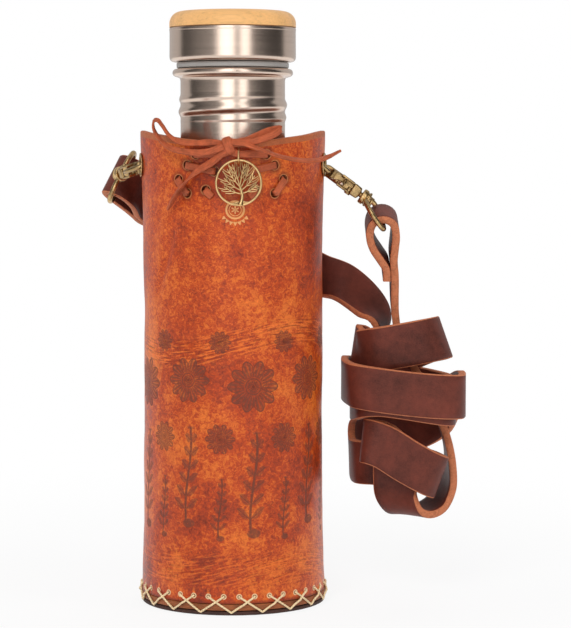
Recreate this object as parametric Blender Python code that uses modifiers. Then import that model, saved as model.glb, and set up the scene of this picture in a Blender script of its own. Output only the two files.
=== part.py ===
"""Leather bottle case with a shoulder strap, two snap hooks, a laced mouth and its steel bottle.

Metres, +Z up. The origin is the middle of the underside of the base, the front of the case looks
along -Y, and the strap's bundle hangs at +X.
"""
import math

import bmesh
import bpy
import numpy as np
from mathutils import Matrix, Vector
from mathutils.bvhtree import BVHTree

# Sleeve
CASE_RADIUS = 0.0394
CASE_FLARE = 0.0013
LEATHER_THICKNESS = 0.0026
RIM_FRONT_HEIGHT = 0.2030
RIM_SIDE_RISE = 0.0035
SEAM_GAP = 0.0012
FLARE_SHARES = ((0.0, 1.0), (0.05, 0.75), (0.15, 0.25), (0.35, 0.0),
                (0.6, 0.0), (0.8, 0.2), (0.93, 0.6), (1.0, 1.0))
SLEEVE_COLUMNS = 40
SLEEVE_ROWS = 7

# Base
SOLE_THICKNESS = 0.0017
BASE_THICKNESS = 0.0028
FIT_GAP = 0.0003
EDGE_ROUNDING = 0.0004

# Stitches
THREAD_RADIUS = 0.00055
BASE_STITCH_COUNT = 19
BASE_STITCH_TOP = 0.0030
SEAM_STITCH_COUNT = 14
SEAM_STITCH_HALF_WIDTH = 0.0050
SEAM_STITCH_START = 0.0150
SEAM_STITCH_PITCH = 0.0125

# Eyelets
EYELET_RIM_DISTANCE = 0.0100
EYELET_HALF_SPACING = 0.0065
EYELET_BORE_RADIUS = 0.0039
EYELET_WALL = 0.0003
EYELET_FLANGE_WIDTH = 0.0009
EYELET_FLANGE_THICKNESS = 0.0004
EYELET_CURVE_GAP = 0.0005

# Bottle
BOTTLE_CLEARANCE = 0.0043
BOTTLE_WALL = 0.0009
BOTTLE_SHOULDER_HEIGHT = 0.1600
NECK_RADIUS = 0.0230
SHOULDER_LENGTH = 0.0380
LIP_FLARE = 0.0035
LIP_THICKNESS = 0.0035
LIP_NECK_LENGTH = 0.0115
THREAD_PITCH = 0.0062
ROLLED_THREAD_RISE = 0.0009
ROLLED_THREAD_NECK_LENGTH = 0.0040
ROLLED_THREAD_LENGTH = 0.0215
BOTTLE_COLUMNS = 26

# Cap
CAP_OVERHANG = 0.0013
CAP_WALL = 0.0008
CAP_SHELL_LENGTH = 0.0148
CAP_CORNER_RADIUS = 0.0030
CAP_TOP_THICKNESS = 0.0082
CAP_TOP_ROUNDING = 0.0040
PLUG_SIDE_CLEARANCE = 0.0015
PLUG_WALL = 0.0020
PLUG_DEPTH = 0.0210
PLUG_RIB_RADIUS = 0.0007
PLUG_RIB_TURNS = 1.5
SEAL_INSET = 0.0018
SEAL_SPACE_THICKNESS = 0.0030
CAP_COLUMNS = 28

# Snap hooks
HOOK_RING_RADIUS = 0.0070
HOOK_WIRE = 0.0020
HOOK_BODY_LENGTH = 0.0110
HOOK_BODY_WIDTH = 0.0064
HOOK_THICKNESS = 0.0048
HOOK_POST_RADIUS = 0.0012
HOOK_HEAD_RADIUS = 0.0021
HOOK_CHEEK = 0.0006
GATE_THICKNESS = 0.0017
GATE_PIN_RADIUS = 0.0006
GATE_SPRING_WIRE_RADIUS = 0.00015
GATE_SPRING_TURNS = 1.5
COLLAR_RADIUS = 0.0034
COLLAR_LENGTH = 0.0050
RIGHT_HOOK_DROP_DEG = 36.0
LEFT_HOOK_DROP_DEG = 18.6
LEFT_HOOK_TURN_DEG = 61.0

# Strap eyes
EYE_WIRE_RADIUS = 0.00115
EYE_HALF_WIDTH = 0.0120
RIGHT_EYE_SIDE_DISTANCE = 0.0077
RIGHT_EYE_DROP_DISTANCE = 0.0106
LEFT_EYE_BACK_DISTANCE = 0.0128
LEFT_EYE_DROP_DISTANCE = 0.0024

# Strap
STRAP_WIDTH = 0.0195
STRAP_THICKNESS = 0.0030
STRAP_STEP = 0.0048
FOLD_INNER_RADIUS = 0.0043
FOLD_SEAT_SHARE = 0.47
ROUTE_LENGTH = 0.1000
RIGHT_BAR_SHARES = (0.0, -0.963, -0.271)
LEFT_BAR_SHARES = (-0.42, -0.30, -0.857)
LEFT_LEAVING_SHARES = (0.574, 0.641, -0.504)

# Lace
LACE_WIDTH = 0.0028
LACE_THICKNESS = 0.0012
LACE_HOLE_RADIUS = 0.0019
LACE_STEP = 0.0028
KNOT_WIDTH = 0.0062
KNOT_HEIGHT = 0.0075
KNOT_DEPTH = 0.0046
KNOT_STAND_OFF = 0.0036
KNOT_RIM_DISTANCE = 0.0018
KNOT_SIDE_DISTANCE = 0.0008
LACE_END_SHARE = 0.72
HOLE_SHARE = 0.45
SEGMENT_SHARES = (0.3, 0.6)
LACE_ORDER = (0, 1, 5, 2, 3, 4)

# Degrees from the front and share of the front's height of the holes on each side.
LACE_HOLE_SHARES = (
    (22.0, 0.97340),
    (27.5, 0.95074),
    (34.0, 0.92118),
    (28.0, 0.89163),
    (15.5, 0.89901),
    (10.0, 0.93842),
)

# Rows of the bow: degrees from the front, share of the front's height, lift in lace gaps, width way.
LEFT_LOOP_SHARES = (
    (-10.0, 0.99803, 1.5, 0.0, 0.2, 1.0),
    (-20.0, 0.99704, 1.4, 0.0, 0.6, 0.8),
    (-29.0, 0.99901, 1.6, 0.0, 0.8, 0.6),
    (-36.0, 1.01281, 1.9, 0.0, 0.9, 0.4),
    (-41.0, 1.03448, 2.1, 0.0, 0.9, 0.4),
    (-44.0, 1.04483, 2.3, 0.0, 0.9, 0.4),
    (-46.8, 1.04335, 2.4, 0.0, 0.9, 0.4),
    (-46.8, 1.02956, 2.5, 0.0, 0.9, 0.4),
    (-42.0, 1.00690, 2.7, 0.0, 0.9, 0.4),
    (-35.0, 0.98916, 2.9, 0.0, 0.8, 0.6),
    (-26.0, 0.97980, 3.1, 0.0, 0.6, 0.8),
    (-14.0, 0.97734, 3.0, 0.0, 0.2, 1.0),
)
RIGHT_LOOP_SHARES = (
    (9.0, 1.00296, 1.5, 0.0, 0.0, 1.0),
    (15.0, 1.01281, 1.3, 0.0, 0.0, 1.0),
    (21.0, 1.02167, 1.3, 0.0, 0.0, 1.0),
    (26.0, 1.02660, 1.6, 0.0, 0.0, 1.0),
    (28.0, 1.02660, 2.3, 0.0, 0.0, 1.0),
    (26.0, 1.02069, 3.0, 0.0, 0.0, 1.0),
    (20.0, 1.00985, 3.4, 0.0, 0.0, 1.0),
    (12.0, 1.00000, 3.1, 0.0, 0.0, 1.0),
)
LEFT_TAIL_SHARES = (
    (-10.0, 0.95813, 2.0, 0.5, 0.0, 0.9),
    (-20.0, 0.93596, 1.7, 0.6, 0.0, 0.8),
    (-30.0, 0.90148, 1.6, 0.7, 0.2, 0.6),
    (-40.0, 0.85714, 1.3, 0.8, 0.3, 0.5),
)
RIGHT_TAIL_SHARES = (
    (7.0, 0.99606, 3.6, 0.0, 0.7, 0.7),
    (17.0, 0.98030, 4.4, 0.0, 0.9, 0.4),
    (31.0, 0.96453, 4.6, 0.0, 0.9, 0.4),
    (46.0, 0.96059, 5.4, 0.2, 0.9, 0.4),
    (55.2, 0.96847, 5.8, 0.3, 0.9, 0.4),
    (61.6, 0.98128, 7.4, 0.3, 0.9, 0.4),
)
# Where a run leaves the knot: shares of its half width, its depth and its half width.
LOOP_START_SHARES = (1.0, 0.25, 0.3)
LOOP_END_SHARES = (1.0, -0.30, -0.2)
RIGHT_LOOP_START_SHARES = (1.0, 0.25, 0.6)
RIGHT_LOOP_END_SHARES = (1.0, -0.30, 0.4)
LEFT_TAIL_START_SHARES = (0.5, -0.15, -0.6)
RIGHT_TAIL_START_SHARES = (0.6, -0.30, 0.8)

# Charm
CHARM_RADIUS = 0.0095
CHARM_WIRE_RADIUS = 0.0006
CHARM_SIDE_DISTANCE = 0.0034
JUMP_RING_RADIUS = 0.0030
JUMP_RING_WIRE_RADIUS = 0.00035
JUMP_RING_RIM_DISTANCE = 0.00595
STRAND_RISE_DISTANCE = 0.00085
TRUNK_SHARES = ((0.10, -0.96), (0.16, -0.62), (0.12, -0.30), (0.08, -0.05))
TRUNK_WIDTH_SHARES = (1.2, 0.9, 0.9, 0.8)
BRANCH_SHARES = (
    ((0.12, -0.30), (-0.12, -0.02), (-0.42, 0.12), (-0.95, 0.18)),
    ((0.12, -0.30), (0.30, -0.02), (0.58, 0.06), (0.96, 0.04)),
    ((0.08, -0.05), (-0.14, 0.30), (-0.36, 0.55), (-0.62, 0.72)),
    ((0.08, -0.05), (0.14, 0.35), (0.24, 0.66), (0.30, 0.93)),
    ((0.08, -0.05), (0.34, 0.26), (0.52, 0.52), (0.66, 0.70)),
)
ROOT_SHARES = (
    ((0.13, -0.55), (-0.02, -0.78), (-0.30, -0.92)),
    ((0.14, -0.60), (0.26, -0.80), (0.44, -0.88)),
)

SIDES = (("right", 1), ("left", -1))
MERGE_DISTANCE = 0.00001
PARTS = bpy.data.collections.new("bottle_case")
CUTTERS = bpy.data.collections.new("bottle_case_cutters")


# Helpers

def clear_scene():
    for item in list(bpy.data.objects):
        bpy.data.objects.remove(item, do_unlink=True)
    bpy.context.scene.collection.children.link(PARTS)
    bpy.context.scene.collection.children.link(CUTTERS)


def material(name, colour, roughness, metallic=0.0):
    made = bpy.data.materials.new(name)
    made.use_nodes = True
    shader = made.node_tree.nodes["Principled BSDF"]
    shader.inputs["Base Color"].default_value = (*colour, 1.0)
    shader.inputs["Roughness"].default_value = roughness
    shader.inputs["Metallic"].default_value = metallic
    return made


def add_object(name, mesh, finish=None, cutter=False):
    item = bpy.data.objects.new(name, mesh)
    (CUTTERS if cutter else PARTS).objects.link(item)
    if finish is not None:
        mesh.materials.clear()
        mesh.materials.append(finish)
    if cutter:
        item.hide_render = True
        item.display_type = "WIRE"
    return item


def smooth(item):
    item.data.shade_smooth()
    item.data.set_sharp_from_angle(angle=math.radians(40.0))
    return item


def bmesh_object(name, work, finish=None, cutter=False):
    mesh = bpy.data.meshes.new(name)
    work.to_mesh(mesh)
    work.free()
    return add_object(name, mesh, finish, cutter)


def boolean(item, other, operation):
    change = item.modifiers.new(operation.title(), "BOOLEAN")
    change.operation = operation
    change.object = other


def apply_modifiers(item):
    """Replace an object's mesh by its evaluated one and drop the modifiers."""
    bpy.context.view_layer.update()
    evaluated = item.evaluated_get(bpy.context.evaluated_depsgraph_get())
    mesh = bpy.data.meshes.new_from_object(evaluated)
    item.modifiers.clear()
    item.data = mesh
    return item


def union(item, others):
    """Join the others into the item by Boolean unions, and remove them."""
    for other in others:
        boolean(item, other, "UNION")
    apply_modifiers(item)
    for other in others:
        bpy.data.objects.remove(other, do_unlink=True)
    return item


def turned(name, profile, finish=None, steps=40, cutter=False):
    """Turn a closed or axis-to-axis profile of (radius, height) points round Z."""
    work = bmesh.new()
    corners = [work.verts.new((radius, 0.0, height)) for radius, height in profile]
    for first, second in zip(corners, corners[1:]):
        work.edges.new((first, second))
    if profile[0][0] > 0.0:
        work.edges.new((corners[-1], corners[0]))
    item = bmesh_object(name, work, finish, cutter)
    screw = item.modifiers.new("Screw", "SCREW")
    screw.steps = steps
    screw.render_steps = steps
    screw.use_merge_vertices = True
    screw.merge_threshold = MERGE_DISTANCE
    return smooth(apply_modifiers(item))


def placed_matrix(place, axis_u, axis_v, axis_n):
    """Matrix that puts local X, Y, Z along three directions, at a place."""
    turn = Matrix((axis_u, axis_v, axis_n)).transposed()
    return Matrix.Translation(place) @ turn.to_4x4()


def along(direction, place=(0.0, 0.0, 0.0)):
    """Matrix that turns local Z along a direction, at a place."""
    return Matrix.Translation(place) @ Vector(direction).to_track_quat("Z", "Y").to_matrix().to_4x4()


def rod(name, place, direction, radius, length, finish=None, sides=20, cutter=False):
    """Cylinder centred on a place, its axis along a direction."""
    work = bmesh.new()
    bmesh.ops.create_cone(work, cap_ends=True, segments=sides, radius1=radius, radius2=radius,
                          depth=length, matrix=along(direction, place))
    return smooth(bmesh_object(name, work, finish, cutter))


def tube(name, points, radius, finish=None, closed=False, resolution=0, radii=None):
    """Round bar along a smooth row of points."""
    curve = bpy.data.curves.new(name, "CURVE")
    curve.dimensions = "3D"
    curve.bevel_depth = radius
    curve.bevel_resolution = resolution
    curve.use_fill_caps = True
    spline = curve.splines.new("POLY")
    spline.points.add(len(points) - 1)
    for index, point in enumerate(points):
        spline.points[index].co = (*point, 1.0)
        spline.points[index].radius = radii[index] if radii else 1.0
    spline.use_cyclic_u = closed
    guide = bpy.data.objects.new(name + "_curve", curve)
    PARTS.objects.link(guide)
    bpy.context.view_layer.update()
    evaluated = guide.evaluated_get(bpy.context.evaluated_depsgraph_get())
    mesh = bpy.data.meshes.new_from_object(evaluated)
    bpy.data.objects.remove(guide, do_unlink=True)
    work = bmesh.new()
    work.from_mesh(mesh)
    bmesh.ops.remove_doubles(work, verts=work.verts, dist=radius * 0.01)
    bmesh.ops.recalc_face_normals(work, faces=work.faces)
    return smooth(bmesh_object(name, work, finish))


def route(stations, step):
    """Rows of a smooth curve through hand-placed rows; the first three numbers are the place."""
    rows = np.array(stations, dtype=float)
    spans = np.sqrt(np.linalg.norm(np.diff(rows[:, :3], axis=0), axis=1))
    times = np.concatenate(([0.0], np.cumsum(spans)))
    slopes = np.gradient(rows, times, axis=0)
    fine = []
    for index, span in enumerate(spans):
        for share in np.linspace(0.0, 1.0, 16, endpoint=False):
            square, cube = share ** 2, share ** 3
            fine.append((2 * cube - 3 * square + 1) * rows[index]
                        + (cube - 2 * square + share) * span * slopes[index]
                        + (3 * square - 2 * cube) * rows[index + 1]
                        + (cube - square) * span * slopes[index + 1])
    fine.append(rows[-1])
    fine = np.array(fine)
    lengths = np.concatenate(([0.0], np.cumsum(np.linalg.norm(np.diff(fine[:, :3], axis=0), axis=1))))
    count = max(2, int(round(lengths[-1] / step)) + 1)
    wanted = np.linspace(0.0, lengths[-1], count)
    return np.stack([np.interp(wanted, lengths, fine[:, column]) for column in range(fine.shape[1])], axis=1)


def ribbon_frames(rows):
    """Place, width direction and face direction at each row of x, y, z, wx, wy, wz."""
    places = rows[:, :3]
    heading = np.gradient(places, axis=0)
    heading /= np.linalg.norm(heading, axis=1)[:, None]
    across = rows[:, 3:6] - heading * np.sum(rows[:, 3:6] * heading, axis=1)[:, None]
    across /= np.linalg.norm(across, axis=1)[:, None]
    return places, across, np.cross(heading, across)


def ribbon(name, rows, width, thickness, finish=None, widths_shares=None, thickness_shares=None):
    """Flat bar of oblong section lofted along rows of places and width directions."""
    places, across, facing = ribbon_frames(rows)
    work = bmesh.new()
    rings = []
    for index, place in enumerate(places):
        half_width = width / 2 * (widths_shares[index] if widths_shares is not None else 1.0)
        half_depth = thickness / 2 * (thickness_shares[index] if thickness_shares is not None else 1.0)
        side, face = across[index] * half_width, facing[index] * half_depth
        rings.append([work.verts.new(place + corner) for corner in
                      (side + face, face - side, -side - face, side - face)])
    for first, second in zip(rings, rings[1:]):
        for corner in range(4):
            after = (corner + 1) % 4
            work.faces.new((first[corner], first[after], second[after], second[corner]))
    work.faces.new(rings[0])
    work.faces.new(reversed(rings[-1]))
    bmesh.ops.recalc_face_normals(work, faces=work.faces)
    return smooth(bmesh_object(name, work, finish))


def least_self_gap(item, rows, width, thickness, skip):
    """Least gap from a ribbon's faces to its own plies that are further than skip away along it."""
    places, across, facing = ribbon_frames(rows)
    run = np.concatenate(([0.0], np.cumsum(np.linalg.norm(np.diff(places, axis=0), axis=1))))
    corners = [corner.co for corner in item.data.vertices]
    faces = [tuple(face.vertices) for face in item.data.polygons]
    least = skip
    for index, place in enumerate(places):
        far = [face for face in faces if abs(run[min(face) // 4] - run[index]) > skip]
        tree = BVHTree.FromPolygons(corners, far)
        for share in np.linspace(-0.5, 0.5, 9):
            for turn in (-0.5, 0.5):
                spot = place + across[index] * width * share + facing[index] * thickness * turn
                least = min(least, tree.find_nearest(Vector(spot))[3])
    return least


def set_origin(item, place):
    """Move an object's origin to a place and leave its shape where it is."""
    item.data.transform(Matrix.Translation(-Vector(place)))
    item.location = place
    return item


# Sizes that follow from others

EYELET_HEIGHT = RIM_FRONT_HEIGHT - EYELET_RIM_DISTANCE
KNOT_CENTRE_HEIGHT = RIM_FRONT_HEIGHT - KNOT_RIM_DISTANCE
JUMP_RING_HEIGHT = RIM_FRONT_HEIGHT - JUMP_RING_RIM_DISTANCE
BOTTLE_RADIUS = CASE_RADIUS - LEATHER_THICKNESS - BOTTLE_CLEARANCE
NECK_HEIGHT = BOTTLE_SHOULDER_HEIGHT + SHOULDER_LENGTH
ROLLED_THREAD_START = NECK_HEIGHT + ROLLED_THREAD_NECK_LENGTH
ROLLED_THREAD_END = ROLLED_THREAD_START + ROLLED_THREAD_LENGTH
LIP_HEIGHT = ROLLED_THREAD_END + LIP_NECK_LENGTH
CAP_BOTTOM_HEIGHT = LIP_HEIGHT + SEAL_SPACE_THICKNESS
LIP_RADIUS = NECK_RADIUS + LIP_FLARE
CAP_RADIUS = LIP_RADIUS + CAP_OVERHANG
SEAL_RADIUS = LIP_RADIUS - SEAL_INSET
PLUG_RADIUS = NECK_RADIUS - BOTTLE_WALL - PLUG_SIDE_CLEARANCE
CAP_SHELL_TOP_HEIGHT = CAP_BOTTOM_HEIGHT + CAP_SHELL_LENGTH
CAP_TOP_HEIGHT = CAP_SHELL_TOP_HEIGHT + CAP_TOP_THICKNESS
BASE_TOP = SOLE_THICKNESS + FIT_GAP + BASE_THICKNESS
CASE_BOTTOM = BASE_TOP + FIT_GAP
BASE_RADIUS = CASE_RADIUS + CASE_FLARE
WALL_MIDDLE_RADIUS = CASE_RADIUS + CASE_FLARE / 2 - LEATHER_THICKNESS / 2
CHORD_RADIUS = math.sqrt(WALL_MIDDLE_RADIUS ** 2 - EYELET_HALF_SPACING ** 2)
RING_INSET = math.sqrt(HOOK_RING_RADIUS ** 2 - EYELET_HALF_SPACING ** 2)
HOOK_LENGTH = HOOK_RING_RADIUS * 1.2 + HOOK_BODY_LENGTH
COLLAR_MIDDLE = HOOK_LENGTH + FIT_GAP + COLLAR_LENGTH / 2


def rim_height(azimuth):
    return RIM_FRONT_HEIGHT + RIM_SIDE_RISE * math.sin(azimuth) ** 2


def sleeve_radius(height):
    """Outer radius of the sleeve at a height."""
    share = (height - CASE_BOTTOM) / (RIM_FRONT_HEIGHT - CASE_BOTTOM)
    table = np.array(FLARE_SHARES)
    return CASE_RADIUS + CASE_FLARE * float(np.interp(share, table[:, 0], table[:, 1]))


def round_case(azimuth, radius, height):
    """Place at an azimuth from the front, towards +X, round the axis of the case."""
    return Vector((radius * math.sin(azimuth), -radius * math.cos(azimuth), height))


def build_sleeve(finish):
    work = bmesh.new()
    bmesh.ops.create_grid(work, x_segments=SLEEVE_COLUMNS, y_segments=SLEEVE_ROWS, size=0.5)
    half_turn = math.pi - SEAM_GAP / 2 / CASE_RADIUS
    for corner in work.verts:
        azimuth = corner.co.x * 2 * half_turn
        height = CASE_BOTTOM + (corner.co.y + 0.5) * (rim_height(azimuth) - CASE_BOTTOM)
        corner.co = round_case(azimuth, sleeve_radius(height), height)
    bmesh.ops.recalc_face_normals(work, faces=work.faces)
    if sum(face.normal.dot(face.calc_center_median()) for face in work.faces) < 0.0:
        bmesh.ops.reverse_faces(work, faces=work.faces)
    sleeve = bmesh_object("case_shell", work, finish)
    wall = sleeve.modifiers.new("Solidify", "SOLIDIFY")
    wall.thickness = LEATHER_THICKNESS
    wall.offset = -1.0
    for cutter in lace_hole_cutters() + eyelet_hole_cutters():
        boolean(sleeve, cutter, "DIFFERENCE")
    apply_modifiers(sleeve)
    return smooth(sleeve)


def lace_hole_cutters():
    cutters = []
    for side, sign in SIDES:
        for number, (degrees, share) in enumerate(LACE_HOLE_SHARES):
            azimuth = math.radians(degrees) * sign
            height = RIM_FRONT_HEIGHT * share
            middle = sleeve_radius(height) - LEATHER_THICKNESS / 2
            cutters.append(rod(f"cut_lace_{number}_{side}", round_case(azimuth, middle, height),
                               round_case(azimuth, 1.0, 0.0), LACE_HOLE_RADIUS,
                               LEATHER_THICKNESS * 2, sides=12, cutter=True))
    return cutters


def eyelet_places():
    places = []
    for side, sign in SIDES:
        for end, turn in (("front", -1), ("rear", 1)):
            azimuth = math.pi / 2 + turn * math.asin(EYELET_HALF_SPACING / CASE_RADIUS)
            places.append((f"eyelet_{side}_{end}", sign * azimuth))
    return places


def eyelet_hole_cutters():
    hole = EYELET_BORE_RADIUS + EYELET_WALL + FIT_GAP
    middle = sleeve_radius(EYELET_HEIGHT) - LEATHER_THICKNESS / 2
    return [rod("cut_" + name, round_case(azimuth, middle, EYELET_HEIGHT), round_case(azimuth, 1.0, 0.0),
                hole, LEATHER_THICKNESS * 2, sides=20, cutter=True)
            for name, azimuth in eyelet_places()]


def build_eyelets(finish):
    outer = EYELET_BORE_RADIUS + EYELET_WALL
    flange = outer + EYELET_FLANGE_WIDTH
    reach = LEATHER_THICKNESS / 2 + EYELET_CURVE_GAP
    top = reach + EYELET_FLANGE_THICKNESS
    profile = [(EYELET_BORE_RADIUS, -top), (EYELET_BORE_RADIUS, top), (flange, top), (flange, reach),
               (outer, reach), (outer, -reach), (flange, -reach), (flange, -top)]
    middle = sleeve_radius(EYELET_HEIGHT) - LEATHER_THICKNESS / 2
    for name, azimuth in eyelet_places():
        eyelet = turned(name, profile, finish, steps=16)
        place = round_case(azimuth, middle, EYELET_HEIGHT)
        eyelet.data.transform(along(round_case(azimuth, 1.0, 0.0)))
        set_origin(eyelet, (0.0, 0.0, 0.0))
        eyelet.location = place


def build_base(disc_finish, sole_finish):
    for name, low, high, finish in (("base_disc", SOLE_THICKNESS + FIT_GAP, BASE_TOP, disc_finish),
                                    ("base_sole", 0.0, SOLE_THICKNESS, sole_finish)):
        flat = BASE_RADIUS - EDGE_ROUNDING
        disc = turned(name, [(0.0, high), (flat, high), (BASE_RADIUS, high - EDGE_ROUNDING),
                             (BASE_RADIUS, low + EDGE_ROUNDING), (flat, low), (0.0, low)], finish)
        set_origin(disc, (0.0, 0.0, 0.0))


# Shares of a leg at which it has a point; it runs past its holes, so that neighbours meet there.
THREAD_LEG_SHARES = (-0.05, 0.46, 1.05)
RISING_LEG_LIFT_SHARE = 0.37


def thread_leg(name, start, end, over):
    """Stitch leg on the outside of the case between two (azimuth, height) points, lifted over others."""
    points = []
    for share in THREAD_LEG_SHARES:
        azimuth = start[0] + (end[0] - start[0]) * share
        height = start[1] + (end[1] - start[1]) * share
        lift = FIT_GAP + THREAD_RADIUS * (over + (1.9 if 0.0 < share < 1.0 else 1.5))
        radius = max(sleeve_radius(max(height, CASE_BOTTOM)), BASE_RADIUS if height < CASE_BOTTOM else 0.0)
        points.append(round_case(azimuth, radius + lift, height))
    return tube(name, points, THREAD_RADIUS)


def joined(name, pieces, finish):
    """One object that holds the meshes of several, which are removed."""
    work = bmesh.new()
    for piece in pieces:
        work.from_mesh(piece.data)
        bpy.data.objects.remove(piece, do_unlink=True)
    return bmesh_object(name, work, finish)


def crossed_thread(name, falling, rising, finish):
    """Falling and rising stitch legs joined where they cross and where they share a hole."""
    first = joined(name, [thread_leg("leg", *leg, 0.0) for leg in falling], finish)
    legs = [thread_leg("leg", *leg, RISING_LEG_LIFT_SHARE) for leg in rising]
    second = joined(name + "_rising", legs, finish)
    return smooth(union(first, [second]))


def build_threads(finish):
    pitch = math.tau / BASE_STITCH_COUNT
    low = THREAD_RADIUS * 2 + FIT_GAP
    high = CASE_BOTTOM + BASE_STITCH_TOP
    falling, rising = [], []
    for index in range(BASE_STITCH_COUNT):
        middle = (index + 0.5) * pitch
        falling.append(((middle - pitch / 4, high), (middle + pitch / 2, low)))
        rising.append(((middle + pitch / 4, high), (middle - pitch / 2, low)))
    crossed_thread("base_thread", falling, rising, finish)
    half = SEAM_STITCH_HALF_WIDTH / CASE_RADIUS
    falling, rising = [], []
    for index in range(SEAM_STITCH_COUNT):
        low = SEAM_STITCH_START + index * SEAM_STITCH_PITCH
        high = low + SEAM_STITCH_PITCH
        falling.append(((math.pi - half, high), (math.pi + half, low)))
        rising.append(((math.pi - half, low), (math.pi + half, high)))
    crossed_thread("seam_thread", falling, rising, finish)


# Bottle and cap

def neck_radius(azimuth, height):
    """Outer radius of the neck with its rolled thread, which climbs one pitch a turn."""
    if not ROLLED_THREAD_START < height < ROLLED_THREAD_END:
        return NECK_RADIUS
    share = (height - ROLLED_THREAD_START) / (ROLLED_THREAD_END - ROLLED_THREAD_START)
    fade = min(1.0, 6.0 * share, 6.0 * (1.0 - share))
    phase = math.tau * (height - ROLLED_THREAD_START) / THREAD_PITCH - azimuth
    return NECK_RADIUS + ROLLED_THREAD_RISE * fade * (0.5 + 0.5 * math.cos(phase))


def bottle_rows():
    """Outer (radius, height) rows of the bottle, from the middle of its underside to the lip."""
    bottom = BASE_TOP + FIT_GAP
    corner = BOTTLE_RADIUS - NECK_RADIUS
    rise = NECK_HEIGHT - BOTTLE_SHOULDER_HEIGHT
    rows = [(BOTTLE_RADIUS * 0.88, bottom), (BOTTLE_RADIUS * 0.97, bottom + corner * 0.12),
            (BOTTLE_RADIUS, bottom + corner * 0.4), (BOTTLE_RADIUS, BOTTLE_SHOULDER_HEIGHT)]
    for share in (0.25, 0.5, 0.75, 1.0):
        turn = share * math.pi
        rows.append((NECK_RADIUS + corner * (0.5 + 0.5 * math.cos(turn)),
                     BOTTLE_SHOULDER_HEIGHT + rise * share))
    count = 9
    for index in range(count + 1):
        rows.append((NECK_RADIUS, ROLLED_THREAD_START + ROLLED_THREAD_LENGTH * index / count))
    rows.append((NECK_RADIUS, LIP_HEIGHT - LIP_THICKNESS))
    return rows


def build_bottle(finish):
    """Open surface of the bottle, given its wall inwards; the lip is joined on."""
    rows = bottle_rows()
    work = bmesh.new()
    bmesh.ops.create_grid(work, x_segments=BOTTLE_COLUMNS, y_segments=len(rows) - 1, size=0.5)
    for corner in work.verts:
        azimuth = (corner.co.x + 0.5) * math.tau
        radius, height = rows[int(round((corner.co.y + 0.5) * (len(rows) - 1)))]
        if height >= NECK_HEIGHT:
            radius = neck_radius(azimuth, height)
        corner.co = round_case(azimuth, radius, height)
    bmesh.ops.remove_doubles(work, verts=work.verts, dist=BOTTLE_WALL * 0.01)
    low = min(corner.co.z for corner in work.verts)
    foot = [edge for edge in work.edges if edge.is_boundary and edge.verts[0].co.z < low + BOTTLE_WALL / 2]
    bmesh.ops.holes_fill(work, edges=foot, sides=0)
    bmesh.ops.recalc_face_normals(work, faces=work.faces)
    bottom = min(work.faces, key=lambda face: face.calc_center_median().z)
    if bottom.normal.z > 0.0:
        bmesh.ops.reverse_faces(work, faces=work.faces)
    bottle = bmesh_object("bottle_shell", work, finish)
    wall = bottle.modifiers.new("Solidify", "SOLIDIFY")
    wall.thickness = BOTTLE_WALL
    wall.offset = -1.0
    wall.use_even_offset = True
    apply_modifiers(bottle)
    inner = NECK_RADIUS - BOTTLE_WALL
    overlap = BOTTLE_WALL / 3
    lip = turned("lip", lip_profile(inner + overlap), finish, steps=BOTTLE_COLUMNS)
    return smooth(union(bottle, [lip]))


def lip_profile(inner):
    """Rolled lip: a bead outside the neck, its top flat for the seal."""
    half = LIP_THICKNESS / 2
    middle = LIP_HEIGHT - half
    profile = [(inner, LIP_HEIGHT), (LIP_RADIUS - half, LIP_HEIGHT)]
    for index in range(1, 5):
        turn = math.pi / 2 - index * math.pi / 5
        profile.append((LIP_RADIUS - half + half * math.cos(turn), middle + half * math.sin(turn)))
    profile.append((LIP_RADIUS - half, LIP_HEIGHT - LIP_THICKNESS))
    profile.append((inner, LIP_HEIGHT - LIP_THICKNESS - BOTTLE_WALL / 2))
    return profile


def corner_arc(radius, height, rounding, start, end, count=3):
    """Points of a rounded corner about a centre, between two angles in degrees."""
    points = []
    for index in range(count + 1):
        turn = math.radians(start + (end - start) * index / count)
        points.append((radius + rounding * math.cos(turn), height + rounding * math.sin(turn)))
    return points


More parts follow.
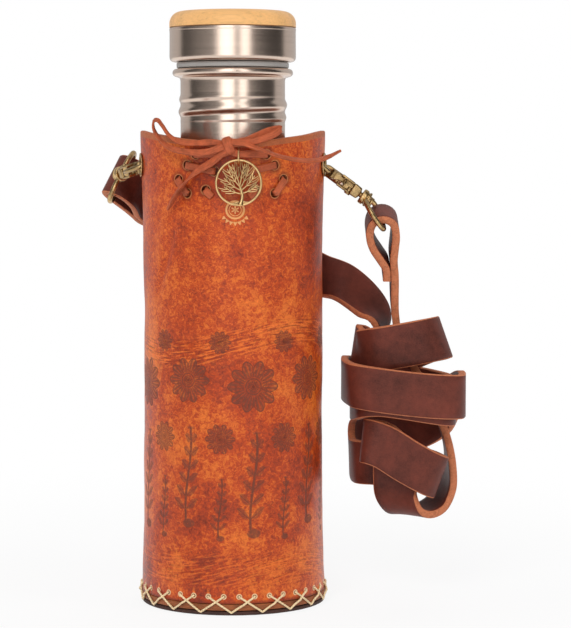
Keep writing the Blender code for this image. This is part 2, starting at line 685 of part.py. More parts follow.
def build_cap(steel, bamboo, plastic, rubber):
    corner = CAP_CORNER_RADIUS
    inner = CAP_RADIUS - CAP_WALL
    hole = SEAL_RADIUS - LIP_THICKNESS / 2
    floor = CAP_BOTTOM_HEIGHT + CAP_WALL
    profile = [(inner, CAP_SHELL_TOP_HEIGHT), (CAP_RADIUS, CAP_SHELL_TOP_HEIGHT)]
    profile += corner_arc(CAP_RADIUS - corner, CAP_BOTTOM_HEIGHT + corner, corner, 0.0, -90.0)
    profile += [(hole, CAP_BOTTOM_HEIGHT), (hole, floor)]
    profile += corner_arc(CAP_RADIUS - corner, CAP_BOTTOM_HEIGHT + corner, corner - CAP_WALL, -90.0, 0.0)
    shell = turned("cap_shell", profile, steel, steps=CAP_COLUMNS)
    seat = CAP_SHELL_TOP_HEIGHT + FIT_GAP
    spigot = inner - FIT_GAP
    plug_top = CAP_SHELL_TOP_HEIGHT - CAP_CORNER_RADIUS
    edge = CAP_TOP_ROUNDING
    top = turned("cap_top", [(0.0, CAP_TOP_HEIGHT)]
                 + corner_arc(CAP_RADIUS - edge, CAP_TOP_HEIGHT - edge, edge, 90.0, 0.0)
                 + [(CAP_RADIUS, seat), (spigot, seat), (spigot, plug_top + FIT_GAP),
                    (0.0, plug_top + FIT_GAP)],
                 bamboo, steps=CAP_COLUMNS)
    flange = spigot
    low = LIP_HEIGHT - PLUG_DEPTH
    bore = PLUG_RADIUS - PLUG_WALL
    rest = floor + FIT_GAP
    plug = turned("cap_plug", [(0.0, plug_top), (flange, plug_top), (flange, rest + CAP_CORNER_RADIUS),
                               (hole - FIT_GAP, rest), (PLUG_RADIUS, rest), (PLUG_RADIUS, low), (bore, low),
                               (bore, plug_top - PLUG_WALL), (0.0, plug_top - PLUG_WALL)],
                  plastic, steps=BOTTLE_COLUMNS)
    rib = []
    for index in range(int(PLUG_RIB_TURNS * 16) + 1):
        turn = index * math.tau / 16
        rib.append(Vector((PLUG_RADIUS * math.cos(turn), PLUG_RADIUS * math.sin(turn),
                           low + PLUG_WALL + THREAD_PITCH * turn / math.tau)))
    smooth(union(plug, [tube("rib", rib, PLUG_RIB_RADIUS)]))
    seal_inner = PLUG_RADIUS + PLUG_RIB_RADIUS + FIT_GAP
    bottom, height = LIP_HEIGHT + FIT_GAP, CAP_BOTTOM_HEIGHT - FIT_GAP
    soft = (height - bottom) / 4
    flat = SEAL_RADIUS - soft
    seal = turned("cap_seal", [(seal_inner, height), (flat, height), (SEAL_RADIUS, height - soft),
                               (SEAL_RADIUS, bottom + soft), (flat, bottom), (seal_inner, bottom)],
                  rubber, steps=BOTTLE_COLUMNS)
    for item in (shell, top, plug, seal):
        set_origin(item, (0.0, 0.0, 0.0))


# Snap hooks

def hook_frame(side):
    """Ring centre and the three directions of a hook: along it, across to its gate, and square to both."""
    sign = 1 if side == "right" else -1
    drop = math.radians(RIGHT_HOOK_DROP_DEG if side == "right" else LEFT_HOOK_DROP_DEG)
    turn = 0.0 if side == "right" else math.radians(LEFT_HOOK_TURN_DEG)
    outward = Vector((sign * math.cos(drop), 0.0, -math.sin(drop)))
    backward = Vector((0.0, 1.0, 0.0))
    centre = Vector((sign * CHORD_RADIUS, 0.0, EYELET_HEIGHT)) + outward * RING_INSET
    length_way = outward * math.cos(turn) + backward * math.sin(turn)
    gate_way = outward * math.sin(turn) - backward * math.cos(turn)
    return centre, length_way, gate_way, length_way.cross(gate_way)


def ring_point(degrees, height=0.0):
    turn = math.radians(degrees)
    return (HOOK_RING_RADIUS * math.cos(turn), HOOK_RING_RADIUS * math.sin(turn), height)


GATE_PIVOT = (HOOK_RING_RADIUS * 1.43, HOOK_BODY_WIDTH * 0.28)


def build_hook(side, finish, spring_finish):
    centre, way_u, way_v, way_n = hook_frame(side)
    frame = placed_matrix(centre, way_u, way_v, way_n)
    start = HOOK_RING_RADIUS * 1.2
    angles = [64, 74, 85] + list(range(100, 341, 15)) + [343]
    stations = [(*ring_point(angle), 0.0, 0.0, 1.0) for angle in angles]
    stations.append((start + HOOK_BODY_WIDTH / 4, -HOOK_BODY_WIDTH * 0.3, 0.0, 0.0, 0.0, 1.0))
    rows = route(stations, HOOK_RING_RADIUS * 0.22)
    wide = HOOK_THICKNESS / HOOK_WIRE
    shares = [1.0 + (wide - 1.0) * min(1.0, max(0.0, (index / (len(rows) - 1) - 0.86) / 0.12))
              for index in range(len(rows))]
    hook = ribbon(f"{side}_hook", rows, HOOK_WIRE, HOOK_WIRE * 0.9, finish, widths_shares=shares)
    body = bpy.data.meshes.new("body")
    work = bmesh.new()
    bmesh.ops.create_cube(work, size=1.0, matrix=Matrix.Translation((start + HOOK_BODY_LENGTH / 2, 0.0, 0.0))
                          @ Matrix.Diagonal((HOOK_BODY_LENGTH, HOOK_BODY_WIDTH, HOOK_THICKNESS, 1.0)))
    for corner in work.verts:
        if corner.co.x > start + HOOK_BODY_LENGTH / 2:
            corner.co.y *= 0.72
    bmesh.ops.bevel(work, geom=list(work.edges), offset=HOOK_CHEEK, segments=2, affect="EDGES")
    work.to_mesh(body)
    work.free()
    body_item = add_object("body", body)
    post = rod("post", (HOOK_LENGTH + COLLAR_LENGTH / 2, 0.0, 0.0), (1.0, 0.0, 0.0), HOOK_POST_RADIUS,
               COLLAR_LENGTH + 4 * FIT_GAP + HOOK_CHEEK * 2, sides=16)
    head = rod("head", (HOOK_LENGTH + COLLAR_LENGTH + 2 * FIT_GAP + HOOK_CHEEK, 0.0, 0.0), (1.0, 0.0, 0.0),
               HOOK_HEAD_RADIUS, HOOK_CHEEK * 2, sides=16)
    rest = rod("rest", (start + HOOK_BODY_LENGTH * 0.55, HOOK_BODY_WIDTH * 0.12, HOOK_THICKNESS / 2),
               (0.0, 0.0, 1.0), HOOK_POST_RADIUS, HOOK_CHEEK * 4, sides=16)
    union(hook, [body_item, post, head, rest])
    slot_half = HOOK_THICKNESS / 2 - HOOK_CHEEK
    slot = bmesh.new()
    slot_length, slot_depth = HOOK_BODY_WIDTH * 0.9, HOOK_BODY_WIDTH
    bmesh.ops.create_cube(slot, size=1.0, matrix=Matrix.Translation(
        (GATE_PIVOT[0] - slot_length * 0.12, GATE_PIVOT[1] + slot_depth / 2 - HOOK_BODY_WIDTH * 0.38, 0.0))
        @ Matrix.Diagonal((slot_length, slot_depth, slot_half * 2, 1.0)))
    slot_item = bmesh_object("slot_" + side, slot, cutter=True)
    bore = rod("pin_bore_" + side, (*GATE_PIVOT, 0.0), (0.0, 0.0, 1.0), GATE_PIN_RADIUS + FIT_GAP,
               HOOK_THICKNESS * 2, sides=16, cutter=True)
    hook.modifiers.new("Flat faces", "TRIANGULATE")
    boolean(hook, slot_item, "DIFFERENCE")
    boolean(hook, bore, "DIFFERENCE")
    apply_modifiers(hook)
    for cutter in (slot_item, bore):
        bpy.data.objects.remove(cutter, do_unlink=True)
    smooth(hook)
    gate = build_gate(side, finish, slot_half)
    pin = rod(f"{side}_gate_pin", (*GATE_PIVOT, 0.0), (0.0, 0.0, 1.0), GATE_PIN_RADIUS,
              HOOK_THICKNESS, finish, sides=16)
    spring = build_gate_spring(side, spring_finish, slot_half)
    pivot = frame @ Vector((*GATE_PIVOT, 0.0))
    collar = frame @ Vector((COLLAR_MIDDLE, 0.0, 0.0))
    for item, place in ((hook, collar), (gate, pivot), (pin, pivot), (spring, pivot)):
        item.data.transform(frame)
        set_origin(item, place)
    return frame


def build_gate(side, finish, slot_half):
    """Gate bar from its knuckle on the pin to the hook's tip, wide outside the slot."""
    knuckle = GATE_PIVOT
    low, high = -slot_half + FIT_GAP, slot_half * 0.12
    offset = (low + high) / 2
    narrow = (high - low) / HOOK_THICKNESS
    stations = [(knuckle[0], knuckle[1] + GATE_THICKNESS * 0.45, offset, 0.0, 0.0, 1.0, narrow),
                (knuckle[0] - HOOK_RING_RADIUS * 0.20, knuckle[1] + HOOK_RING_RADIUS * 0.32, offset,
                 0.0, 0.0, 1.0, narrow),
                (*ring_point(39.0, offset * 0.4), 0.0, 0.0, 1.0, 0.8),
                (*ring_point(48.0), 0.0, 0.0, 1.0, 0.92),
                (*ring_point(57.0), 0.0, 0.0, 1.0, 0.85)]
    rows = route(stations, HOOK_RING_RADIUS * 0.15)
    gate = ribbon(f"{side}_gate", rows, HOOK_THICKNESS, GATE_THICKNESS, finish, widths_shares=rows[:, 6])
    barrel = rod("barrel", (*knuckle, offset), (0.0, 0.0, 1.0), GATE_PIN_RADIUS * 2.4, high - low, sides=16)
    union(gate, [barrel])
    bore = rod("gate_bore_" + side, (*knuckle, offset), (0.0, 0.0, 1.0), GATE_PIN_RADIUS + FIT_GAP,
               HOOK_THICKNESS * 2, sides=16, cutter=True)
    boolean(gate, bore, "DIFFERENCE")
    apply_modifiers(gate)
    bpy.data.objects.remove(bore, do_unlink=True)
    return smooth(gate)


def build_gate_spring(side, finish, slot_half):
    low = slot_half * 0.12 + FIT_GAP + GATE_SPRING_WIRE_RADIUS
    high = slot_half - FIT_GAP - GATE_SPRING_WIRE_RADIUS
    radius = GATE_PIN_RADIUS + FIT_GAP + GATE_SPRING_WIRE_RADIUS
    count = int(GATE_SPRING_TURNS * 10)
    points = []
    for index in range(count + 1):
        turn = index * math.tau / 10
        points.append(Vector((GATE_PIVOT[0] + radius * math.cos(turn),
                              GATE_PIVOT[1] + radius * math.sin(turn),
                              low + (high - low) * index / count)))
    spring = tube(f"{side}_gate_spring", points, GATE_SPRING_WIRE_RADIUS, finish)
    spring.modifiers.new("Flat faces", "TRIANGULATE")
    return apply_modifiers(spring)


def build_eye(side, finish):
    """Collar that the hook's post turns in, and the wire loop that carries the strap's fold."""
    centre, way_u, way_v, way_n = hook_frame(side)
    middle = centre + way_u * COLLAR_MIDDLE
    bar_way = Vector(RIGHT_BAR_SHARES if side == "right" else LEFT_BAR_SHARES).normalized()
    bar = bar_centre(side)
    collar = rod(f"{side}_eye", middle, way_u, COLLAR_RADIUS, COLLAR_LENGTH * 0.5, finish, sides=16)
    rims = [rod("rim", middle + way_u * COLLAR_LENGTH * 0.25 * end, way_u, COLLAR_RADIUS * 1.12,
                COLLAR_LENGTH * 0.3, sides=16) for end in (-1, 1)]
    down = (bar - middle).normalized()
    start = COLLAR_RADIUS * 0.8
    stations = []
    for sign in (1, -1):
        leg = [middle + bar_way * start * sign,
               middle + bar_way * EYE_HALF_WIDTH * 0.62 * sign + down * EYE_WIRE_RADIUS * 0.6,
               middle + bar_way * EYE_HALF_WIDTH * sign + (bar - middle) * 0.38,
               bar + bar_way * EYE_HALF_WIDTH * sign - down * EYE_WIRE_RADIUS * 1.8,
               bar + bar_way * EYE_HALF_WIDTH * 0.87 * sign]
        stations.append(leg)
    points = stations[0] + [bar] + stations[1][::-1]
    rows = route([tuple(point) for point in points], EYE_WIRE_RADIUS * 2.2)
    loop = tube("loop", [Vector(row) for row in rows], EYE_WIRE_RADIUS, resolution=2)
    union(collar, rims + [loop])
    bore = rod("eye_bore_" + side, middle, way_u, HOOK_POST_RADIUS + FIT_GAP, COLLAR_LENGTH * 2,
               sides=16, cutter=True)
    boolean(collar, bore, "DIFFERENCE")
    apply_modifiers(collar)
    bpy.data.objects.remove(bore, do_unlink=True)
    smooth(collar)
    set_origin(collar, middle)


def bar_centre(side):
    centre, way_u, _, _ = hook_frame(side)
    middle = centre + way_u * COLLAR_MIDDLE
    if side == "right":
        return middle + Vector((RIGHT_EYE_SIDE_DISTANCE, 0.0, -RIGHT_EYE_DROP_DISTANCE))
    return middle + Vector((0.0, LEFT_EYE_BACK_DISTANCE, -LEFT_EYE_DROP_DISTANCE))


# Strap

# Places behind the case: shares of its radius sideways and backwards, and of its height, then the width way.
BACK_SHARES = (
    (-0.64, 1.37, 0.838, -0.42, -0.05, -0.90),
    (-0.28, 1.31, 0.812, -0.42, 0.00, -0.91),
    (0.08, 1.21, 0.776, -0.42, 0.00, -0.91),
    (0.50, 1.12, 0.745, -0.38, 0.00, -0.92),
    (0.80, 0.94, 0.720, -0.36, -0.12, -0.92),
    (0.98, 0.76, 0.703, -0.36, -0.30, -0.88),
)

# Places in the bundle, in shares of the route's unit from the right bar, then the width way.
BUNDLE_SHARES = (
    # down to the bundle and into its core
    (-0.172, 0.255, -0.281, -0.40, -0.54, -0.74),
    (-0.092, 0.235, -0.338, -0.42, -0.64, -0.64),
    (-0.050, 0.220, -0.425, -0.41, -0.95, 0.16),
    (-0.003, 0.192, -0.453, -0.19, -0.40, 0.25),
    (-0.009, 0.180, -0.521, -0.12, -1.11, -0.14),
    (-0.031, 0.133, -0.568, -0.13, -0.99, 0.41),
    (-0.083, 0.123, -0.564, -0.02, -0.30, 0.96),
    # top wrap, once round
    (-0.110, 0.094, -0.559, 0.23, 0.28, 1.18),
    (-0.092, 0.036, -0.577, -0.48, 0.70, 1.07),
    (-0.030, -0.052, -0.562, -0.20, 0.00, 1.00),
    (0.090, -0.068, -0.542, -0.22, 0.00, 1.00),
    (0.205, -0.048, -0.522, -0.30, 0.00, 1.00),
    (0.266, 0.030, -0.517, -0.36, 0.00, 1.00),
    (0.268, 0.140, -0.526, -0.30, 0.00, 1.00),
    (0.225, 0.250, -0.548, -0.15, 0.00, 1.00),
    (0.130, 0.305, -0.596, 0.00, 0.00, 1.00),
    (0.030, 0.312, -0.662, 0.00, 0.00, 1.00),
    (-0.058, 0.288, -0.730, 0.00, 0.00, 1.00),
    # inner main wrap
    (-0.112, 0.215, -0.780, 0.00, 0.00, 1.00),
    (-0.122, 0.120, -0.792, 0.00, 0.00, 1.00),
    (-0.114, 0.020, -0.785, 0.00, 0.00, 1.00),
    (-0.082, -0.078, -0.762, 0.00, 0.00, 1.00),
    (-0.010, -0.110, -0.755, 0.00, 0.00, 1.00),
    (0.100, -0.113, -0.768, 0.00, 0.00, 1.00),
    (0.220, -0.108, -0.788, 0.00, 0.00, 1.00),
    (0.292, -0.070, -0.802, 0.00, 0.00, 1.00),
    (0.316, 0.020, -0.802, 0.00, 0.00, 1.00),
    (0.318, 0.140, -0.800, 0.00, 0.00, 1.00),
    (0.308, 0.250, -0.795, 0.00, 0.00, 1.00),
    (0.240, 0.345, -0.785, 0.00, 0.00, 1.00),
    (0.120, 0.392, -0.765, 0.00, 0.00, 1.00),
    (0.010, 0.398, -0.745, 0.00, 0.00, 1.00),
    (-0.075, 0.375, -0.730, 0.00, 0.00, 1.00),
    # outer main wrap
    (-0.145, 0.295, -0.716, 0.00, 0.00, 1.00),
    (-0.160, 0.150, -0.708, 0.00, 0.00, 1.00),
    (-0.154, 0.010, -0.710, -0.06, 0.00, 1.00),
    (-0.118, -0.105, -0.718, -0.08, 0.00, 1.00),
    (-0.030, -0.150, -0.730, -0.08, 0.00, 1.00),
    (0.110, -0.155, -0.748, -0.08, 0.00, 1.00),
    (0.260, -0.144, -0.762, -0.05, 0.00, 1.00),
    (0.336, -0.090, -0.768, 0.00, 0.00, 1.00),
    (0.358, 0.020, -0.770, 0.00, 0.00, 1.00),
    (0.360, 0.160, -0.772, 0.00, 0.00, 1.00),
    (0.340, 0.300, -0.776, 0.00, 0.00, 1.00),
    (0.265, 0.410, -0.784, 0.00, 0.00, 1.00),
    (0.140, 0.468, -0.800, 0.00, 0.00, 1.00),
    (0.020, 0.482, -0.850, 0.00, 0.00, 1.00),
    (-0.060, 0.440, -0.920, 0.00, 0.00, 1.00),
    # lower left wrap and the ply behind the lower front wrap
    (-0.112, 0.330, -1.010, 0.00, 0.00, 1.00),
    (-0.122, 0.190, -1.075, -0.05, 0.00, 1.00),
    (-0.098, 0.090, -1.080, -0.05, 0.00, 1.00),
    (-0.030, 0.054, -1.080, 0.00, 0.00, 1.00),
    (0.090, 0.052, -1.090, 0.10, 0.00, 1.00),
    (0.205, 0.040, -1.115, 0.25, 0.00, 1.00),
    # lower front wrap, back to the left
    (0.250, -0.030, -1.130, 0.35, 0.00, 1.00),
    (0.208, -0.088, -1.108, 0.40, 0.00, 1.00),
    (0.105, -0.101, -1.050, 0.40, 0.00, 1.00),
    (0.010, -0.101, -0.990, 0.40, 0.00, 1.00),
    (-0.048, -0.098, -0.968, 0.30, 0.00, 1.00),
    (-0.076, -0.070, -0.965, 0.10, 0.00, 1.00),
    (-0.046, -0.042, -0.970, 0.00, 0.00, 1.00),
    # turn down, and the bottom bend
    (0.008, -0.035, -0.985, 0.55, 0.00, 0.83),
    (0.052, -0.034, -1.050, 0.97, -0.05, 0.20),
    (0.060, -0.024, -1.140, 0.98, -0.15, 0.00),
    (0.066, -0.008, -1.220, 0.90, -0.44, 0.00),
    (0.110, 0.015, -1.285, 0.80, -0.60, 0.00),
    (0.180, 0.060, -1.300, 0.60, -0.80, 0.00),
    (0.250, 0.105, -1.270, 0.40, -0.92, 0.00),
    (0.302, 0.130, -1.190, 0.20, -0.98, 0.00),
    (0.314, 0.135, -1.080, 0.05, -1.00, 0.00),
    (0.296, 0.130, -0.970, 0.00, -1.00, 0.00),
    # up through the core and out at the top
    (0.262, 0.125, -0.880, 0.00, -1.00, 0.00),
    (0.195, 0.120, -0.740, 0.00, -1.00, 0.00),
    (0.125, 0.112, -0.610, 0.00, -1.00, 0.00),
    (0.080, 0.115, -0.510, -0.02, -0.99, -0.05),
    (0.062, 0.108, -0.400, -0.02, -0.98, -0.15),
    (0.057, 0.086, -0.310, 0.00, -0.97, -0.24),
)

# A fold in its own plane: shares of its half width towards the main ply, and along the strap.
FOLD_SHARES = (
    (0.98, 4.10),
    (0.95, 3.30),
    (0.86, 2.30),
    (0.94, 1.20),
    (1.00, 0.30),
    (0.80, -0.60),
    (0.30, -0.96),
    (-0.30, -0.96),
    (-0.80, -0.60),
    (-1.00, 0.30),
    (-0.76, 1.50),
    (-0.22, 2.50),
    (0.24, 3.20),
    (0.34, 3.90),
)


def fold_stations(bar, bar_way, leaving, main_way):
    """Places of a fold round a bar, from the main ply to the ply that is laid back on it."""
    half = FOLD_INNER_RADIUS + STRAP_THICKNESS / 2
    seat = FOLD_INNER_RADIUS * FOLD_SEAT_SHARE
    middle = bar + leaving * seat
    stations = []
    for across_share, along_share in FOLD_SHARES:
        place = middle + main_way * half * across_share + leaving * half * along_share
        stations.append((*place, *bar_way))
    return stations


def strap_rows():
    left_way = Vector(LEFT_BAR_SHARES).normalized()
    leaving = Vector(LEFT_LEAVING_SHARES)
    leaving = (leaving - left_way * leaving.dot(left_way)).normalized()
    left = fold_stations(bar_centre("left"), left_way, leaving, leaving.cross(left_way))
    right_way = Vector(RIGHT_BAR_SHARES).normalized()
    down = Vector((0.0, 0.0, -1.0))
    down = (down - right_way * down.dot(right_way)).normalized()
    right = fold_stations(bar_centre("right"), right_way, down, Vector((1.0, 0.0, 0.0)))
    back = [(CASE_RADIUS * x, CASE_RADIUS * y, RIM_FRONT_HEIGHT * z, *way) for x, y, z, *way in BACK_SHARES]
    origin = bar_centre("right")
    bundle = [(*(origin + Vector((x, y, z)) * ROUTE_LENGTH), *way) for x, y, z, *way in BUNDLE_SHARES]
    for index in range(1, len(bundle)):
        before, after = Vector(bundle[index - 1][3:]), Vector(bundle[index][3:])
        if before.dot(after) < 0.0:
            print("strap turns over at bundle row", index)
    return route(left[::-1] + back + bundle + right, STRAP_STEP)


def build_strap(finish):
    rows = strap_rows()
    strap = ribbon("strap", rows, STRAP_WIDTH, STRAP_THICKNESS, finish)
    gap = least_self_gap(strap, rows, STRAP_WIDTH, STRAP_THICKNESS, STRAP_THICKNESS * 5)
    length = np.linalg.norm(np.diff(rows[:, :3], axis=0), axis=1).sum()
    print(f"strap length {length:.3f} m, least gap between plies {gap * 1000:.2f} mm, {len(rows)} rows")
    return strap


# Lace and charm

def lace_out(azimuth, height, lift=0.0):
    """Middle of the lace outside the sleeve."""
    return round_case(azimuth, sleeve_radius(height) + FIT_GAP + LACE_THICKNESS / 2 + lift, height)


def ring_y():
    """Depth of the jump ring's middle, clear of the front of the sleeve."""
    return -(sleeve_radius(JUMP_RING_HEIGHT) + 2 * FIT_GAP + JUMP_RING_RADIUS + JUMP_RING_WIRE_RADIUS)


def lace_strand(sign, start):
    """Rows of the lace from the knot through the six holes of one side, out and in by turns."""
    holes = [(math.radians(degrees) * sign, RIM_FRONT_HEIGHT * share)
             for degrees, share in LACE_HOLE_SHARES]
    path = [holes[index] for index in LACE_ORDER]
    path.append((path[-1][0] * LACE_END_SHARE, path[-1][1] - LACE_WIDTH))
    reach = LEATHER_THICKNESS / 2 + FIT_GAP + LACE_THICKNESS / 2

    def spot(hole, share):
        middle = sleeve_radius(hole[1]) - LEATHER_THICKNESS / 2
        return round_case(hole[0], middle + reach * share, hole[1])

    hang = Vector((CHARM_SIDE_DISTANCE * sign, ring_y(), JUMP_RING_HEIGHT + STRAND_RISE_DISTANCE))
    ways = []
    for before, after in zip([None] + path, path):
        first = spot(before, 1.0) if before else hang
        way = round_case(after[0], 1.0, 0.0).cross(spot(after, 1.0) - first).normalized()
        if ways and way.dot(ways[-1]) < 0.0:
            way = -way
        ways.append(way)
    outer = hang.lerp(spot(path[0], 1.0), 0.5) + round_case(path[0][0], LACE_THICKNESS, 0.0)
    rows = [(start, ways[0]), (hang, ways[0]), (outer, ways[0])]
    outside = 1.0
    for index, hole in enumerate(path):
        if index > 0:
            for share in SEGMENT_SHARES:
                between = [one + (other - one) * share for one, other in zip(path[index - 1], hole)]
                rows.append((spot(between, outside), ways[index]))
        rows.append((spot(hole, outside), ways[index]))
        if index < len(path) - 1:
            rows.append((spot(hole, HOLE_SHARE * outside), ways[index] * 2 + ways[index + 1]))
            rows.append((spot(hole, 0.0), ways[index] + ways[index + 1]))
            rows.append((spot(hole, -HOLE_SHARE * outside), ways[index] + ways[index + 1] * 2))
            rows.append((spot(hole, -outside), ways[index + 1]))
        outside = -outside
    return np.array([(*place, *way) for place, way in rows])


def build_lace(finish):
    knot_radius = sleeve_radius(KNOT_CENTRE_HEIGHT) + KNOT_STAND_OFF
    knot_place = Vector((-KNOT_SIDE_DISTANCE, -knot_radius, KNOT_CENTRE_HEIGHT))
    work = bmesh.new()
    bmesh.ops.create_cube(work, size=1.0, matrix=Matrix.Translation(knot_place)
                          @ Matrix.Diagonal((KNOT_WIDTH, KNOT_DEPTH, KNOT_HEIGHT, 1.0)))
    bmesh.ops.bevel(work, geom=list(work.edges), offset=KNOT_DEPTH * 0.3, segments=2, affect="EDGES")
    lace = bmesh_object("lace", work, finish)
    pieces = []
    for name, stations in lace_runs(knot_place):
        pieces.append(ribbon(name, route(stations, LACE_STEP), LACE_WIDTH, LACE_THICKNESS))
    for side, sign in SIDES:
        start = knot_place + Vector((0.0, KNOT_DEPTH * 0.07 * sign, -KNOT_HEIGHT * 0.27))
        pieces.append(ribbon("strand_" + side, lace_strand(sign, start), LACE_WIDTH, LACE_THICKNESS))
    return smooth(union(lace, pieces))


def lace_runs(knot):
    """The bow's two loops and two tails."""
    half = KNOT_WIDTH * 0.35
    lift = LACE_THICKNESS + FIT_GAP * 2

    def leave(shares, sign, way):
        place = knot + Vector((half * shares[0] * sign, KNOT_DEPTH * shares[1], half * shares[2]))
        return (*place, *way)

    def rows(table):
        return [(*lace_out(math.radians(degrees), RIM_FRONT_HEIGHT * share, lift * lifts), *way)
                for degrees, share, lifts, *way in table]

    up = (0.0, 0.0, 1.0)
    return [
        ("loop_left", [leave(LOOP_START_SHARES, -1, up)] + rows(LEFT_LOOP_SHARES)
         + [leave(LOOP_END_SHARES, -1, up)]),
        ("loop_right", [leave(RIGHT_LOOP_START_SHARES, 1, up)] + rows(RIGHT_LOOP_SHARES)
         + [leave(RIGHT_LOOP_END_SHARES, 1, up)]),
        ("tail_left", [leave(LEFT_TAIL_START_SHARES, -1, (0.3, 0.0, 1.0))] + rows(LEFT_TAIL_SHARES)),
        ("tail_right", [leave(RIGHT_TAIL_START_SHARES, 1, (0.0, 0.4, 0.9))] + rows(RIGHT_TAIL_SHARES)),
    ]


def build_charm(finish):
    middle = Vector((CHARM_SIDE_DISTANCE, ring_y(), JUMP_RING_HEIGHT))
    turns = [index * math.tau / 16 for index in range(16)]
    ring_points = [middle + Vector((0.0, JUMP_RING_RADIUS * math.cos(turn), JUMP_RING_RADIUS * math.sin(turn)))
                   for turn in turns]
    ring = tube("charm_ring", ring_points, JUMP_RING_WIRE_RADIUS, finish, closed=True)
    drop = JUMP_RING_RADIUS - JUMP_RING_WIRE_RADIUS - FIT_GAP - CHARM_WIRE_RADIUS
    centre = middle - Vector((0.0, 0.0, drop + CHARM_RADIUS))
    rim_points = [centre + Vector((CHARM_RADIUS * math.cos(index * math.tau / 32), 0.0,
                                   CHARM_RADIUS * math.sin(index * math.tau / 32))) for index in range(32)]
    charm = tube("charm", rim_points, CHARM_WIRE_RADIUS, finish, closed=True)
    twigs = []
    trunk = [centre + Vector((CHARM_RADIUS * x, 0.0, CHARM_RADIUS * z)) for x, z in TRUNK_SHARES]
    twigs.append(tube("trunk", trunk, CHARM_WIRE_RADIUS * 1.3, radii=TRUNK_WIDTH_SHARES))
    for shares in BRANCH_SHARES + ROOT_SHARES:
        points = [centre + Vector((CHARM_RADIUS * x, 0.0, CHARM_RADIUS * z)) for x, z in shares]
        twigs.append(tube("twig", points, CHARM_WIRE_RADIUS * 0.8))
    union(charm, twigs)
    smooth(charm)
    for item in (ring, charm):
        set_origin(item, middle)


def main():
    clear_scene()
    leather = material("case_leather", (0.52, 0.12, 0.025), 0.35)
    tan = material("base_leather", (0.55, 0.22, 0.06), 0.6)
    dark = material("sole_leather", (0.09, 0.04, 0.025), 0.7)
    cream = material("waxed_thread", (0.83, 0.63, 0.38), 0.7)
    lace_leather = material("lace_leather", (0.45, 0.13, 0.05), 0.6)
    brass = material("antique_brass", (0.35, 0.24, 0.10), 0.4, 1.0)
    strap_leather = material("strap_leather", (0.15, 0.045, 0.03), 0.5)
    steel = material("brushed_steel", (0.62, 0.60, 0.58), 0.3, 1.0)
    bamboo = material("bamboo", (0.80, 0.47, 0.20), 0.5)
    plastic = material("plug_plastic", (0.75, 0.75, 0.73), 0.4)
    rubber = material("seal_rubber", (0.60, 0.58, 0.56), 0.5)
    build_sleeve(leather)
    build_base(tan, dark)
    build_threads(cream)
    build_eyelets(brass)
    build_bottle(steel)
    build_cap(steel, bamboo, plastic, rubber)
    for side, _ in SIDES:
        build_hook(side, brass, steel)
        build_eye(side, brass)
    build_strap(strap_leather)
    build_lace(lace_leather)
    build_charm(brass)
    for cutter in list(CUTTERS.objects):
        cutter.hide_set(True)


main()
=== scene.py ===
"""Leather bottle case with a shoulder strap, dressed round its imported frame.

Metres, +Z up. The front of the case looks along -Y and the strap's bundle hangs at +X.
"""
import math

import bmesh
import bpy
import numpy as np
from bpy.props import FloatProperty, FloatVectorProperty, IntProperty, PointerProperty
from mathutils import Matrix, Vector, noise


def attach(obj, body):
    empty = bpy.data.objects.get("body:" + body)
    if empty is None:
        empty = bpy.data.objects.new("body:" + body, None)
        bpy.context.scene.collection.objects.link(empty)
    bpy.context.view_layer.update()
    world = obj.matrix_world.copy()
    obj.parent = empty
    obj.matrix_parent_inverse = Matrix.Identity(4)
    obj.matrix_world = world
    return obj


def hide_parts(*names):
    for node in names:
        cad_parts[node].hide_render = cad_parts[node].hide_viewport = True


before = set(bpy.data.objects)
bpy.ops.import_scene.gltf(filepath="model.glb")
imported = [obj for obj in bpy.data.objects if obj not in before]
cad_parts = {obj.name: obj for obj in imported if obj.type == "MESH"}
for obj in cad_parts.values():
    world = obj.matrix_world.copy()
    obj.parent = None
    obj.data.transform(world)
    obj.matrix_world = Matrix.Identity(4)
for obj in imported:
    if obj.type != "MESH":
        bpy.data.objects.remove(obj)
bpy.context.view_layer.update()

bl_info = {
    "name": "Leather bottle case",
    "version": (1, 0, 0),
    "blender": (4, 5, 0),
    "location": "3D View > Sidebar > Bottle case",
    "description": "Builds a leather bottle case with its strap, clips, lace, charm and steel bottle",
    "category": "Add Mesh",
}


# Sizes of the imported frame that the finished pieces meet

CASE_RADIUS = 0.0394
LEATHER_THICKNESS = 0.0026
LACE_HOLE_RADIUS = 0.0019
CASE_BOTTOM = 0.0051
BASE_TOP = 0.0048
RIM_HEIGHT = 0.2030
RIM_SIDE_RISE = 0.0050  # 1.5 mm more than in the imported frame, as the photograph shows
CASE_FLARE = 0.0013
SEAM_GAP = 0.0012
FIT_GAP = 0.0003
EYELET_HEIGHT = 0.1930
EYELET_HALF_SPACING = 0.0065
EYELET_BORE = 0.0039
RING_RADIUS = 0.0070
HOOK_BODY_LENGTH = 0.0110
HOOK_BODY_WIDTH = 0.0064
HOOK_THICKNESS = 0.0048
HOOK_POST_RADIUS = 0.0012
COLLAR_RADIUS = 0.0034
COLLAR_LENGTH = 0.0050
EYE_HALF_WIDTH = 0.0120
FOLD_INNER_RADIUS = 0.0043
FOLD_SEAT_SHARE = 0.47
ROUTE_UNIT = 0.1000
NECK_RADIUS = 0.0230
LIP_HEIGHT = 0.2350
CAP_BOTTOM = 0.2380
CAP_SHELL_TOP = 0.2528
CAP_TOP = 0.2610
CAP_WALL = 0.0008
BOTTLE_WALL = 0.0009
SHOULDER_HEIGHT = 0.1600
NECK_FOOT = 0.1980
NECK_LOW = 0.1990
NECK_HIGH = 0.2300
LIP_RADIUS = 0.0265
LIP_BEAD = 0.00175
THREAD_LOW = 0.2115
